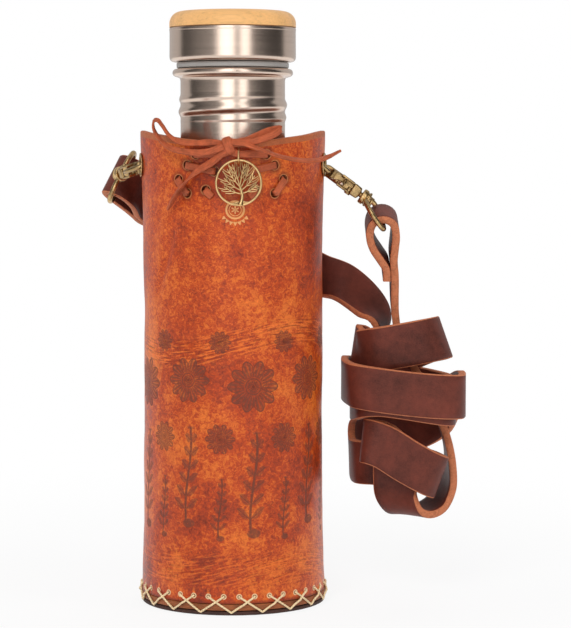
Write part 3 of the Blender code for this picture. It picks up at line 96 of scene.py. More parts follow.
THREAD_HIGH = 0.2240
THREAD_DEPTH = 0.0009
THREAD_PITCH = 0.0062
PLUG_RADIUS = 0.0206
PLUG_BORE = 0.0186
SEAL_RADIUS = 0.0247
SEAL_BORE = 0.0216
STITCH_HOLE_RISE = 0.0030
KNOT_HEIGHT = 0.2012
KNOT_WIDTH = 0.0062
KNOT_DEPTH = 0.0046
CHARM_OFFSET = 0.0034
JUMP_RING_RADIUS = 0.0030
JUMP_WIRE_RADIUS = 0.00035
JUMP_RING_HEIGHT = 0.19705
STRAND_RISE = 0.00085

FLARE_SHARES = ((0.0, 1.0), (0.05, 0.75), (0.15, 0.25), (0.35, 0.0), (0.6, 0.0), (0.8, 0.2),
                (0.93, 0.6), (1.0, 1.0))
HOOK_DROPS = {"right": 36.0, "left": 18.6}
HOOK_TURNS = {"right": 0.0, "left": 61.0}
BAR_OFFSETS = {"right": (0.0077, 0.0, -0.0106), "left": (0.0, 0.0128, -0.0024)}
BAR_SHARES = {"right": (0.0, -0.963, -0.271), "left": (-0.42, -0.30, -0.857)}
LEFT_LEAVING_SHARES = (0.574, 0.641, -0.504)
LACE_ORDER = (0, 1, 5, 2, 3, 4)
LACE_HOLES = ((22.0, 0.1976), (27.5, 0.1930), (34.0, 0.1870), (28.0, 0.1810),
              (15.5, 0.1825), (10.0, 0.1905))

# Sides, units and the stage

SIDES = (("right", 1), ("left", -1))
UP = (0.0, 0.0, 1.0)
MILLIMETRES = 1000.0
STAGE_SIZE = 2.4
FILL_LIGHT = 0.42


# Node sums

class Signal:
    """A number, vector or shader in a node tree, so that sums of numbers read as plain sums."""

    def __init__(self, tree, socket):
        self.tree = tree
        self.socket = socket

    def math(self, operation, *others, first=None):
        values = (self, *others) if first is None else (first, self, *others)
        return made(self.tree, "ShaderNodeMath", 0, dict(enumerate(values)), operation=operation)

    def __add__(self, other):
        return self.math("ADD", other)

    __radd__ = __add__

    def __mul__(self, other):
        return self.math("MULTIPLY", other)

    __rmul__ = __mul__

    def __sub__(self, other):
        return self.math("SUBTRACT", other)

    def __rsub__(self, other):
        return self.math("SUBTRACT", first=other)

    def __truediv__(self, other):
        return self.math("DIVIDE", other)

    def __abs__(self):
        return self.math("ABSOLUTE")

    def sine(self):
        return self.math("SINE")

    def cosine(self):
        return self.math("COSINE")

    def part(self):
        return self.math("FRACT")

    def larger(self, other):
        return self.math("MAXIMUM", other)

    def smaller(self, other):
        return self.math("MINIMUM", other)

    def turn_from(self, other):
        return self.math("ARCTAN2", other)

    def far(self, other):
        """Distance from the middle, from the places along two directions."""
        return (self * self + other * other).math("POWER", 0.5)

    def between(self, low, high):
        """0 below low, 1 above high, smooth between; the other way round when low is above high."""
        falling = low > high
        return made(self.tree, "ShaderNodeMapRange", "Result",
                    {"Value": self, "From Min": min(low, high), "From Max": max(low, high),
                     "To Min": float(falling), "To Max": float(not falling)},
                    interpolation_type="SMOOTHSTEP")

    def split(self):
        along = made(self.tree, "ShaderNodeSeparateXYZ", 0, {0: self})
        return [Signal(self.tree, output) for output in along.socket.node.outputs]

    def scaled(self, shares):
        return made(self.tree, "ShaderNodeVectorMath", 0, {0: self, 1: shares}, operation="MULTIPLY")


def fill(tree, node, values):
    """Give a node's sockets, by number or name, their values or links."""
    for slot, value in values.items():
        if isinstance(value, Signal):
            tree.links.new(value.socket, node.inputs[slot])
        else:
            node.inputs[slot].default_value = value


def made(tree, kind, output, values, **options):
    """One output of a new node, whose settings go in before its values and links."""
    node = tree.nodes.new(kind)
    for name, option in options.items():
        setattr(node, name, option)
    fill(tree, node, values)
    return Signal(tree, node.outputs[output])


def shade(colour, share):
    """A colour made darker or paler by a share."""
    return [min(1.0, value * share) for value in colour]


class Finish:
    """A material under way: its node tree, its shader and the textures that it draws on."""

    def __init__(self, name, roughness, metallic=0.0):
        self.material = bpy.data.materials.new(name)
        self.material.use_nodes = True
        self.tree = self.material.node_tree
        self.shader = self.tree.nodes["Principled BSDF"]
        self.give({"Roughness": roughness, "Metallic": metallic})

    def give(self, values):
        fill(self.tree, self.shader, values)

    def joined(self, vectors):
        return made(self.tree, "ShaderNodeCombineXYZ", 0, dict(enumerate(vectors)))

    def place(self):
        return made(self.tree, "ShaderNodeTexCoord", "Object", {})

    def chart(self, name):
        return made(self.tree, "ShaderNodeUVMap", "UV", {}, uv_map=name)

    def cloud(self, vector, scale, detail, roughness, distortion=0.0):
        return made(self.tree, "ShaderNodeTexNoise", "Fac",
                    {"Vector": vector, "Scale": scale, "Detail": detail, "Roughness": roughness,
                     "Distortion": distortion})

    def ramp(self, signal, stops):
        ramp = made(self.tree, "ShaderNodeValToRGB", "Color", {})
        marks = ramp.socket.node.color_ramp.elements
        while len(marks) < len(stops):
            marks.new(0.5)
        for mark, (position, colour) in zip(marks, stops):
            mark.position = position
            mark.color = (*colour[:3], 1.0)
        fill(self.tree, ramp.socket.node, {"Fac": signal})
        return ramp

    def tones(self, signal, marks, colour, dark, pale):
        """Ramp from a colour's dark share over the colour itself to its pale share."""
        return self.ramp(signal, list(zip(marks, (shade(colour, dark), colour, shade(colour, pale)))))

    def mixed(self, share, first, second):
        first, second = (value if isinstance(value, Signal) else (*value[:3], 1.0)
                         for value in (first, second))
        return made(self.tree, "ShaderNodeMix", 2, {0: share, 6: first, 7: second},
                    data_type="RGBA", blend_type="MIX")

    def colour(self, signal):
        self.give({"Base Color": signal})

    def roughness(self, signal):
        self.give({"Roughness": signal})

    def relief(self, height, distance, strength=1.0):
        """Bump of a height between 0 and 1 that stands for a real distance."""
        self.give({"Normal": made(self.tree, "ShaderNodeBump", "Normal",
                                  {"Strength": strength, "Distance": distance, "Height": height})})

    def coat(self, weight, roughness):
        self.give({"Coat Weight": weight, "Coat Roughness": roughness})


def ink(red, green, blue):
    """Colour for a shader from the three numbers, 0 to 255, that a screen shows."""
    def plain(value):
        share = value / 255.0
        return share / 12.92 if share <= 0.04045 else ((share + 0.055) / 1.055) ** 2.4
    return (plain(red), plain(green), plain(blue))


# Sizes and colours that a user would change

def length_property(name, description, length):
    return FloatProperty(name=name, description=description, default=length, unit="LENGTH")


class BottleCaseSizes(bpy.types.PropertyGroup):
    """Sizes of the case's pieces."""
    case_radius: length_property("Case radius", "Outer radius of the leather sleeve", CASE_RADIUS)
    leather_thickness: length_property(
        "Leather thickness", "Thickness of the sleeve's leather", LEATHER_THICKNESS)
    dent_depth: length_property("Dent depth", "How deep the soft dents in the sleeve go", 0.0009)
    strap_width: length_property("Strap width", "Width of the shoulder strap", 0.0195)
    strap_thickness: length_property("Strap thickness", "Thickness of the shoulder strap", 0.0030)
    lace_width: length_property("Lace width", "Width of the flat lace", 0.0031)
    lace_thickness: length_property("Lace thickness", "Thickness of the flat lace", 0.0010)
    thread_radius: length_property("Thread radius", "Radius of the waxed thread", 0.00045)
    foot_stitches: IntProperty(
        name="Foot stitches", description="Crossed stitches round the foot", default=19, min=6)
    seam_stitches: IntProperty(
        name="Seam stitches", description="Crossed stitches up the back seam", default=14, min=2)
    bottle_radius: length_property("Bottle radius", "Outer radius of the bottle's body", 0.0325)
    cap_radius: length_property("Cap radius", "Outer radius of the cap", 0.0278)
    hook_wire: length_property("Hook wire", "Thickness of the snap hooks' wire", 0.0020)
    eye_wire: length_property("Eye wire radius", "Radius of the strap eyes' wire", 0.00115)
    charm_radius: length_property("Charm radius", "Radius of the charm to the middle of its ring", 0.0095)


def colour_property(name, description, colour):
    return FloatVectorProperty(name=name, description=description, default=colour, subtype="COLOR",
                               min=0.0, max=1.0)


class BottleCaseColours(bpy.types.PropertyGroup):
    """Colours of the case's finishes."""
    leather_light: colour_property(
        "Leather, light", "Light patches of the marbled leather", ink(220, 112, 42))
    leather_middle: colour_property("Leather, middle", "Middle tone of the marbled leather", ink(192, 70, 24))
    leather_dark: colour_property("Leather, dark", "Dark veins of the marbled leather", ink(154, 56, 26))
    burnt: colour_property("Burnt line", "Burnt drawing on the leather", ink(112, 60, 44))
    raw_leather: colour_property("Raw leather", "Flesh side of the leather", ink(150, 88, 58))
    base_edge: colour_property("Base edge", "Cut edge of the base layer", ink(150, 84, 44))
    sole: colour_property("Sole", "Dark sole under the base", ink(64, 38, 30))
    thread: colour_property("Thread", "Waxed thread of the stitches", ink(246, 220, 174))
    strap: colour_property("Strap", "Grain side of the strap", ink(100, 50, 40))
    strap_edge: colour_property("Strap edge", "Cut edge of the strap", ink(196, 118, 80))
    lace: colour_property("Lace", "Flat leather lace", ink(178, 86, 50))
    brass: colour_property("Brass", "Bright brass of the fittings", ink(208, 174, 122))
    lace_edge: colour_property("Lace edge", "Cut edge of the lace", ink(212, 134, 88))
    stamp: colour_property("Stamp", "Pale carved stamp under the charm", ink(240, 176, 112))
    steel: colour_property("Steel", "Brushed steel of bottle and cap", ink(222, 200, 184))
    bamboo: colour_property("Bamboo", "Bamboo of the cap's top", ink(240, 184, 118))


# Finishes

def marbled_leather(colours, sizes):
    """Tooled and polished leather: crinkled mottling, creases with painted highlights and painted shade,
    burnt drawings, a painted shadow behind the charm on darker leather, and holes with pale rims, pale
    streaks and painted shade round and in them.
    """
    finish = Finish("marbled_leather", 0.36)
    place, chart = finish.place(), finish.chart("Surface")
    around, height, _ = chart.split()
    wide = finish.cloud(place, 26.0, 3.0, 0.5)
    patches = finish.cloud(place, 100.0, 4.0, 0.6, 0.4)
    mottle = finish.cloud(place, 620.0, 6.0, 0.70, 0.9)
    tone = wide * 0.30 + patches * 0.22 + mottle * 0.48
    light, middle, dark = colours.leather_light, colours.leather_middle, colours.leather_dark
    deep, pale = shade(dark, 0.5), shade(light, 1.25)
    colour = finish.ramp(tone, ((0.36, deep), (0.44, dark), (0.505, middle), (0.575, light), (0.66, pale)))
    flecks = finish.cloud(place.scaled((1000.0, 1000.0, 1700.0)), 1.0, 3.0, 0.65, 0.5)
    flecks = flecks.between(0.53, 0.66) * wide.between(0.40, 0.56)
    colour = finish.mixed(flecks * 0.50, colour, pale)
    flow = height - (around * 50.8).sine() * 0.0052
    lines = finish.cloud(finish.joined((around * 130.0, flow * 1150.0, 0.0)), 1.0, 4.0, 0.62)
    belly = flow.between(0.1085, 0.1135) * flow.between(0.1255, 0.1195)
    foot = height.between(0.010, 0.014) * height.between(0.031, 0.023) * 0.6
    creased = belly.larger(foot)
    # Painted highlights on the crease ridges and painted shade in the crease hollows, over the creases' bump.
    colour = finish.mixed(lines.between(0.515, 0.60) * creased * 0.75, colour, pale)
    colour = finish.mixed(lines.between(0.47, 0.38) * creased * 0.65, colour, deep)
    burnt = drawn_rosettes(finish).larger(drawn_sprigs(finish))
    broken = finish.cloud(place, 900.0, 4.0, 0.6).between(0.30, 0.52)
    burnt = burnt * (broken * 0.4 + 0.6)
    colour = finish.mixed(burnt * 0.92, colour, colours.burnt)
    # Painted shadow of the charm on the leather behind it, over leather that is darker there.
    worn = (around * MILLIMETRES - 3.4).far((height - 0.1842) * MILLIMETRES).between(12.0, 7.0)
    colour = finish.mixed(worn * 0.45, colour, deep)
    stamp = carved_stamp(around - 0.0018, height)
    colour = finish.mixed(stamp * 0.85, colour, colours.stamp)
    across, up, _ = finish.chart("Hole").split()
    reach = across.far(up)
    # Painted shade round each lace hole; the pale ring at its edge is the leather's own rim.
    colour = finish.mixed(reach.between(4.2, 2.4) * 0.55, colour, deep)
    colour = finish.mixed(reach.between(2.45, 2.15) * reach.between(1.7, 1.9) * 0.32, colour, colours.stamp)
    pitch = math.tau * sizes.case_radius / sizes.foot_stitches / 2.0
    beside = abs((around / pitch + 100.0).part() - 0.5) * pitch * MILLIMETRES
    above = (height - (CASE_BOTTOM + STITCH_HOLE_RISE)) * MILLIMETRES
    hole = beside.far(above)
    streak = beside.between(0.80, 0.30) * above.between(0.0, 0.5) * above.between(4.4, 1.6)
    colour = finish.mixed(streak * (mottle.between(0.40, 0.60) * 0.5 + 0.35), colour, pale)
    colour = finish.mixed(hole.between(1.35, 1.10) * 0.85, colour, colours.thread)
    # Painted shade in the middle of each stitch hole.
    colour = finish.mixed(hole.between(0.80, 0.60), colour, deep)
    colour = finish.mixed(height.between(0.0068, 0.0052) * 0.7, colour, deep)
    finish.colour(colour)
    finish.roughness(mottle * 0.30 + patches * 0.12 + 0.16 + burnt * 0.22)
    fine = finish.cloud(place, 1100.0, 3.0, 0.6)
    finish.relief(mottle * 0.45 + fine * 0.15 + lines * creased * 0.8 - burnt * 0.5 - stamp * 0.4
                  - hole.between(1.0, 0.6) * 0.6, 0.00036)
    finish.give({"Specular IOR Level": 0.30})
    finish.coat(0.08, 0.22)
    return finish.material


def carved_stamp(around, height):
    """Plain carved stamp under the charm: two rings, a six-petal rosette and a row of teeth below."""
    across, up = around * MILLIMETRES, (height - 0.1741) * MILLIMETRES
    reach = across.far(up)
    turn = across.turn_from(up * -1.0)
    rings = (reach.between(4.15, 4.0) * reach.between(3.1, 3.3)).larger(
        reach.between(2.75, 2.65) * reach.between(2.3, 2.4))
    petals = (abs((turn * 3.0).cosine()) * 1.9 - reach).between(0.0, 0.2)
    teeth = abs((turn * 3.2 + 100.5).part() - 0.5) * 2.0
    row = ((7.0 - reach) * 0.62 - teeth).between(0.0, 0.15) * reach.between(5.1, 5.25)
    return rings.larger(petals).larger(row * abs(turn).between(1.10, 1.05))


def drawn_rosettes(finish):
    """Burnt rosettes: a seed disc, two rings of pointed petals and fine lines inside them."""
    across, up, _ = finish.chart("Rosette").split()
    reach = across.far(up)
    turn = up.turn_from(across)
    outer = abs((turn * 5.0).cosine()) * 0.26 + 0.70
    inner = abs((turn * 5.0).sine()) * 0.20 + 0.36
    inside = (outer - reach).between(0.0, 0.03)
    rim = inside * (outer - reach).between(0.09, 0.05)
    lines = abs((turn * 15.0).sine()).between(0.35, 0.80) * reach.between(0.30, 0.40)
    petals = (inner - reach).between(0.0, 0.02) * (inner - reach).between(0.07, 0.03)
    seeds = reach.between(0.25, 0.21) * abs((reach * 46.0).sine() * (turn * 8.0).sine()).between(0.15, 0.5)
    band = reach.between(0.245, 0.27) * reach.between(0.32, 0.29)
    body = inside * 0.34 + inside * lines * 0.52
    return body.larger(rim).larger(petals).larger(seeds).larger(band).smaller(1.0)


def drawn_sprigs(finish):
    """Burnt sprigs: a curved stem with pairs of pointed leaves that get smaller to the tip."""
    across, up, _ = finish.chart("Sprig").split()
    along = up.between(-1.02, -0.98) * up.between(1.02, 0.98)
    bend = (up * 2.2).sine() * 0.07
    aside = abs(across - bend)
    stem = aside.between(0.035, 0.015) * along
    taper = 1.0 - (up + 1.0) * 0.32
    reach = aside / (taper * 0.34)
    step = ((up - aside * 0.85) * 3.5 + 10.0).part() - 0.5
    leaf_width = (reach * math.pi).sine().larger(0.0) * 0.34
    leaf = (leaf_width - abs(step)).between(-0.02, 0.05) * reach.between(1.0, 0.97)
    vein = abs(step).between(0.05, 0.02) * reach.between(0.95, 0.85)
    leaves = (leaf * 0.62 + leaf * vein * 0.38) * up.between(-0.72, -0.68) * along
    foot = (across * across * 3.0 + (up + 0.99) * (up + 0.99) * 6.0).math("POWER", 0.5).between(0.26, 0.20)
    return stem.larger(leaves).larger(foot * 0.9)


def raw_leather(name, colour, scale=420.0, contrast=0.5, roughness=0.85):
    """Flesh side or cut side of leather: loose fibres and small pits."""
    finish = Finish(name, roughness)
    place = finish.place()
    fibres = finish.cloud(place, scale, 8.0, 0.7, 0.8)
    pits = finish.cloud(place, scale * 3.2, 3.0, 0.6)
    tone = fibres * 0.7 + pits * 0.3
    finish.colour(finish.tones(tone, (0.33, 0.5, 0.66), colour, 1.0 - contrast, 1.0 + contrast * 0.5))
    finish.relief(tone, 0.0003, 0.9)
    return finish.material


def layered_leather(name, colour, roughness):
    """Edge of a thick sole layer: fine lines along the layer over a mottled ground."""
    finish = Finish(name, roughness)
    place = finish.place()
    lines = finish.cloud(place.scaled((90.0, 90.0, 2600.0)), 1.0, 5.0, 0.65)
    blots = finish.cloud(place, 180.0, 5.0, 0.6)
    tone = lines * 0.5 + blots * 0.5
    finish.colour(finish.tones(tone, (0.36, 0.5, 0.62), colour, 0.45, 1.25))
    finish.relief(tone, 0.0002)
    return finish.material


def twisted_thread(colours):
    """Waxed thread: faint slanting plies with painted shade in the grooves between them, and a little wax
    dirt.
    """
    finish = Finish("twisted_thread", 0.5)
    along, around, _ = finish.chart("Run").split()
    plies = (along * 4200.0 + around * 2400.0).sine() * 0.5 + 0.5
    dirt = finish.cloud(finish.place(), 700.0, 4.0, 0.6)
    # The grooves between the plies are painted darker as shade; the dirt cloud is random.
    finish.colour(finish.tones(plies * 0.35 + dirt * 0.65, (0.22, 0.42, 0.75), colours.thread, 0.68, 1.1))
    finish.relief(plies, 0.00006)
    finish.coat(0.2, 0.35)
    return finish.material


def strap_grain(colours):
    """Grain side of the strap: smooth dark leather with fine pores, rubbed zones and light scores."""
    finish = Finish("strap_grain", 0.42)
    place, chart = finish.place(), finish.chart("Run")
    rubbed = finish.cloud(place, 42.0, 4.0, 0.55)
    mottle = finish.cloud(place, 240.0, 5.0, 0.65)
    pores = finish.cloud(chart.scaled((1400.0, 1800.0, 1.0)), 1.0, 3.0, 0.6)
    scores = finish.cloud(chart.scaled((60.0, 1500.0, 1.0)), 1.0, 3.0, 0.6).between(0.66, 0.74)
    base = colours.strap
    dark = shade(base, 0.50)
    warm = [base[0] * 1.55, base[1] * 1.42, base[2] * 1.38]
    tone = rubbed * 0.50 + mottle * 0.30 + pores * 0.20
    colour = finish.ramp(tone, ((0.36, dark), (0.49, base), (0.64, warm)))
    finish.colour(finish.mixed(scores * 0.25, colour, warm))
    finish.roughness(pores * 0.22 + rubbed * 0.22 + 0.26)
    finish.relief(pores * 0.6 + mottle * 0.4, 0.00010)
    finish.give({"Specular IOR Level": 0.22})
    return finish.material


def lace_grain(colours):
    """Grain side of the flat lace: fibres along it and blots; its paler cut sides get a finish of their own.
    """
    finish = Finish("lace_grain", 0.62)
    place, chart = finish.place(), finish.chart("Run")
    fibres = finish.cloud(chart.scaled((260.0, 1900.0, 1.0)), 1.0, 5.0, 0.65)
    blots = finish.cloud(place, 260.0, 5.0, 0.65)
    tone = fibres * 0.5 + blots * 0.5
    finish.colour(finish.tones(tone, (0.34, 0.5, 0.66), colours.lace, 0.48, 1.4))
    finish.relief(tone, 0.00022)
    return finish.material


def antique_brass(colours, name="antique_brass_worn", depth=1.0, rubbed=0.0):
    """Brass with dark patina in blotches, bright where it is rubbed."""
    finish = Finish(name, 0.34, 1.0)
    place = finish.place()
    blots = finish.cloud(place, 300.0, 5.0, 0.65)
    fine = finish.cloud(place, 1500.0, 3.0, 0.6)
    tone = blots * 0.7 + fine * 0.3
    base = shade(colours.brass, depth)
    finish.colour(finish.ramp(tone, ((0.32 - rubbed, shade(base, 0.20)), (0.44 - rubbed, shade(base, 0.60)),
                                     (0.54 - rubbed, base))))
    finish.roughness(0.55 - tone * 0.45)
    finish.relief(tone, 0.00002)
    return finish.material


def brushed_steel(colours, name="brushed_steel_turned", roughness=0.26):
    """Steel brushed round its axis, in fine rings with a few deeper ones."""
    finish = Finish(name, roughness, 1.0)
    place = finish.place()
    rings = finish.cloud(place.scaled((22.0, 22.0, 5200.0)), 1.0, 4.0, 0.6)
    broad = finish.cloud(place.scaled((12.0, 12.0, 900.0)), 1.0, 3.0, 0.55)
    tone = rings * 0.6 + broad * 0.4
    finish.colour(finish.tones(tone, (0.30, 0.5, 0.7), colours.steel, 0.88, 1.06))
    finish.roughness(tone * 0.16 + 0.16)
    finish.relief(tone, 0.000012)
    return finish.material


def bamboo_wood(colours):
    """Bamboo: straight fibres in glued strips, with dark vessel dots along them."""
    finish = Finish("bamboo_strips", 0.45)
    place = finish.place()
    fibres = finish.cloud(place.scaled((28.0, 1500.0, 1500.0)), 1.0, 5.0, 0.6)
    strips = finish.cloud(place.scaled((0.5, 160.0, 0.5)), 1.0, 0.0, 0.5)
    dots = finish.cloud(place.scaled((160.0, 2600.0, 2600.0)), 1.0, 2.0, 0.5).between(0.62, 0.72)
    colour = finish.tones(fibres * 0.6 + strips * 0.4, (0.34, 0.5, 0.66), colours.bamboo, 0.72, 1.12)
    finish.colour(finish.mixed(dots * 0.16, colour, shade(colours.bamboo, 0.45)))
    finish.relief(fibres, 0.00006)
    finish.coat(0.18, 0.3)
    return finish.material


def moulded(name, colour, roughness):
    """Moulded rubber or plastic with a fine matt skin."""
    finish = Finish(name, roughness)
    skin = finish.cloud(finish.place(), 2400.0, 3.0, 0.6)
    haze = finish.cloud(finish.place(), 120.0, 3.0, 0.5)
    tone = skin * 0.4 + haze * 0.6
    finish.colour(finish.ramp(tone, ((0.35, shade(colour, 0.86)), (0.6, colour))))
    finish.relief(skin, 0.00003)
    return finish.material


# Meshes

def linked(name, mesh, finishes):
    for finish in finishes:
        mesh.materials.append(finish)
    item = bpy.data.objects.new(name, mesh)
    bpy.context.scene.collection.objects.link(item)
    return item


def mesh_of(name, corners, faces):
    mesh = bpy.data.meshes.new(name)
    mesh.from_pydata(corners, [], faces)
    return mesh


def mesh_from(name, work):
    """The mesh of what a work mesh holds, which is then let go."""
    mesh = bpy.data.meshes.new(name)
    work.to_mesh(mesh)
    work.free()
    return mesh


def hand_over(item, body, node):
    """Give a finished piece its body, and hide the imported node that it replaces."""
    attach(item, body)
    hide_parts(node)


def pointed(place, way):
    """Matrix that sets a piece turned round Z at a place, with Z along a way."""
    return Matrix.Translation(place) @ way.to_track_quat("Z", "Y").to_matrix().to_4x4()


def outward(mesh):
    """Turn a closed mesh's faces outwards, with its UVs kept."""
    work = bmesh.new()
    work.from_mesh(mesh)
    bmesh.ops.recalc_face_normals(work, faces=work.faces)
    work.to_mesh(mesh)
    work.free()


def shaded(item, degrees=40.0):
    item.data.shade_smooth()
    item.data.set_sharp_from_angle(angle=math.radians(degrees))
    return item


def softened(points, rounding, count=4):
    """A row of (radius, height) corners with each inner corner rounded."""
    points = [np.array(point, dtype=float) for point in points]
    rows = [points[0]]
    for before, corner, after in zip(points, points[1:], points[2:]):
        back, on = before - corner, after - corner
        cut = min(rounding, np.linalg.norm(back) * 0.48, np.linalg.norm(on) * 0.48)
        first = corner + back / np.linalg.norm(back) * cut
        last = corner + on / np.linalg.norm(on) * cut
        for share in np.linspace(0.0, 1.0, count + 1):
            rows.append(first * (1 - share) ** 2 + corner * 2 * share * (1 - share) + last * share ** 2)
    rows.append(points[-1])
    return [tuple(row) for row in rows]


def turned(name, profile, finishes, columns, shape=None, degrees=40.0):
    """Turn a profile of (radius, height) points round Z; it ends on the axis or closes on itself."""
    corners, rings = [], []
    for radius, height in profile:
        if radius < 1e-7:
            rings.append([len(corners)] * columns)
            corners.append((0.0, 0.0, height))
            continue
        rings.append(list(range(len(corners), len(corners) + columns)))
        for column in range(columns):
            turn = math.tau * column / columns
            out = shape(turn, radius, height) if shape else radius
            corners.append((out * math.sin(turn), -out * math.cos(turn), height))
    if profile[0][0] >= 1e-7:
        rings.append(rings[0])
    faces = []
    for lower, upper in zip(rings, rings[1:]):
        for column in range(columns):
            after = (column + 1) % columns
            face = (lower[column], lower[after], upper[after], upper[column])
            faces.append(tuple(dict.fromkeys(face)))
    mesh = mesh_of(name, corners, faces)
    outward(mesh)
    return shaded(linked(name, mesh, finishes), degrees)


def swept(name, places, across, facing, section, finishes, closed, sizes, side_faces=(), degrees=50.0):
    """Loft a section of (across, facing) points along rows, with a chart of lengths in metres."""
    places, across, facing = np.array(places), np.array(across), np.array(facing)
    section = np.array(section, dtype=float)
    rows, count = len(places), len(section)
    shares = np.ones((rows, 2)) if sizes is None else np.array(sizes, dtype=float).reshape(rows, -1)
    corners = (places[:, None] + across[:, None] * (section[None, :, :1] * shares[:, None, :1])
               + facing[:, None] * (section[None, :, 1:] * shares[:, None, -1:]))
    last = np.linalg.norm(places[0] - places[-1]) if closed else 0.0
    run = np.concatenate(([0.0], np.cumsum(np.linalg.norm(np.diff(places, axis=0), axis=1))))
    run = np.append(run, run[-1] + last)
    girth = np.concatenate(([0.0], np.cumsum(np.linalg.norm(
        np.diff(np.vstack((section, section[:1])), axis=0), axis=1))))
    faces, chart, kinds = [], [], []
    for row in range(rows if closed else rows - 1):
        after = (row + 1) % rows
        for side in range(count):
            beside = (side + 1) % count
            faces.append((row * count + side, row * count + beside, after * count + beside,
                          after * count + side))
            chart += [(run[row], girth[side]), (run[row], girth[side + 1]),
                      (run[row + 1], girth[side + 1]), (run[row + 1], girth[side])]
            kinds.append(1 if side in side_faces else 0)
    if not closed:
        for row in (0, rows - 1):
            faces.append(tuple(range(row * count, row * count + count)))
            chart += [(run[row] + a, b) for a, b in section]
            kinds.append(1 if side_faces else 0)
    mesh = mesh_of(name, corners.reshape(-1, 3), faces)
    layer = mesh.uv_layers.new(name="Run")
    layer.data.foreach_set("uv", np.array(chart, dtype=np.float32).ravel())
    mesh.polygons.foreach_set("material_index", kinds)
    outward(mesh)
    return shaded(linked(name, mesh, finishes), degrees)


def circle(radius, sides):
    return [(radius * math.cos(math.tau * index / sides), radius * math.sin(math.tau * index / sides))
            for index in range(sides)]


def flat_section(width, thickness, rounding, crown=0.0, spans=4):
    """Section of a flat strip with rounded corners; its two cut sides come last of each half."""
    half, deep = width / 2, thickness / 2
    top = [(half * (1 - 2 * share) * (1 - rounding / half), deep + crown * (1 - (1 - 2 * share) ** 2))
           for share in np.linspace(0.0, 1.0, spans + 1)]
    side = [(-half, deep - rounding), (-half, -deep + rounding)]
    low = [(-x, -z) for x, z in top]
    other = [(half, -deep + rounding), (half, deep - rounding)]
    return top + side + low + other


def cut_sides(spans):
    """Faces of a flat section that lie on its cut sides, with the rounded corners by them."""
    count = spans + 1
    return (count - 1, count, count + 1, 2 * count + 1, 2 * count + 2, 2 * count + 3)


def wire(name, points, radius, finishes, sides, closed=False, shares=None):
    """Round wire along points, its frame carried along without a twist."""
    places = np.array([tuple(point) for point in points])
    if closed:
        heading = np.roll(places, -1, axis=0) - np.roll(places, 1, axis=0)
    else:
        heading = np.gradient(places, axis=0)
    heading /= np.linalg.norm(heading, axis=1)[:, None]
    start = np.cross(heading[0], (0.0, 0.0, 1.0))
    if np.linalg.norm(start) < 0.1:
        start = np.cross(heading[0], (0.0, 1.0, 0.0))
    across = [start / np.linalg.norm(start)]
    for way in heading[1:]:
        side = across[-1] - way * np.dot(across[-1], way)
        across.append(side / np.linalg.norm(side))
    across = np.array(across)
    sizes = None if shares is None else np.repeat(np.array(shares)[:, None], 2, axis=1)
    return swept(name, places, across, np.cross(heading, across), circle(radius, sides), finishes,
                 closed, sizes)


def route(stations, step):
    """Rows of a smooth curve through given rows; the first three numbers are the place."""
    rows = np.array(stations, dtype=float)
    spans = np.sqrt(np.linalg.norm(np.diff(rows[:, :3], axis=0), axis=1))
    times = np.concatenate(([0.0], np.cumsum(spans)))
    slopes = np.gradient(rows, times, axis=0)
    fine = []
    for index, span in enumerate(spans):
        for share in np.linspace(0.0, 1.0, 16, endpoint=False):
            square, cube = share ** 2, share ** 3
            fine.append((2 * cube - 3 * square + 1) * rows[index]
                        + (cube - 2 * square + share) * span * slopes[index]
                        + (3 * square - 2 * cube) * rows[index + 1]
                        + (cube - square) * span * slopes[index + 1])
    fine.append(rows[-1])
    fine = np.array(fine)
    lengths = np.concatenate(([0.0], np.cumsum(np.linalg.norm(np.diff(fine[:, :3], axis=0), axis=1))))
    count = max(2, int(round(lengths[-1] / step)) + 1)
    wanted = np.linspace(0.0, lengths[-1], count)
    return np.stack([np.interp(wanted, lengths, fine[:, column])
                     for column in range(fine.shape[1])], axis=1)


def strip_frames(rows):
    """Place, width direction and face direction at each row of x, y, z, wx, wy, wz."""
    places = rows[:, :3]
    heading = np.gradient(places, axis=0)
    heading /= np.linalg.norm(heading, axis=1)[:, None]
    across = rows[:, 3:6] - heading * np.sum(rows[:, 3:6] * heading, axis=1)[:, None]
    across /= np.linalg.norm(across, axis=1)[:, None]
    return places, across, np.cross(heading, across)


def joined(name, items):
    """One object that holds the meshes of several, with their finishes and charts."""
    finishes = []
    for item in items:
        for slot in item.data.materials:
            if slot not in finishes:
                finishes.append(slot)
    for item in items:
        kinds = [finishes.index(slot) for slot in item.data.materials]
        for face in item.data.polygons:
            face.material_index = kinds[face.material_index] if kinds else 0
        item.data.materials.clear()
        for finish in finishes:
            item.data.materials.append(finish)
    bpy.ops.object.select_all(action="DESELECT")
    for item in items:
        item.select_set(True)
    bpy.context.view_layer.objects.active = items[0]
    bpy.ops.object.join()
    whole = bpy.context.view_layer.objects.active
    whole.name = name
    whole.data.name = name
    return whole


def placed_matrix(place, axis_u, axis_v, axis_n):
    return Matrix.Translation(place) @ Matrix((axis_u, axis_v, axis_n)).transposed().to_4x4()


def round_case(azimuth, radius, height):
    """Place at an azimuth from the front, towards +X, round the axis of the case."""
    return Vector((radius * math.sin(azimuth), -radius * math.cos(azimuth), height))


# Sleeve, base and stitches

def rim_height(azimuth):
    return RIM_HEIGHT + RIM_SIDE_RISE * math.sin(azimuth) ** 2


def sleeve_radius(sizes, height):
    """Outer radius of the sleeve at a height."""
    share = (height - CASE_BOTTOM) / (RIM_HEIGHT - CASE_BOTTOM)
    table = np.array(FLARE_SHARES)
    return sizes.case_radius + CASE_FLARE * float(np.interp(share, table[:, 0], table[:, 1]))


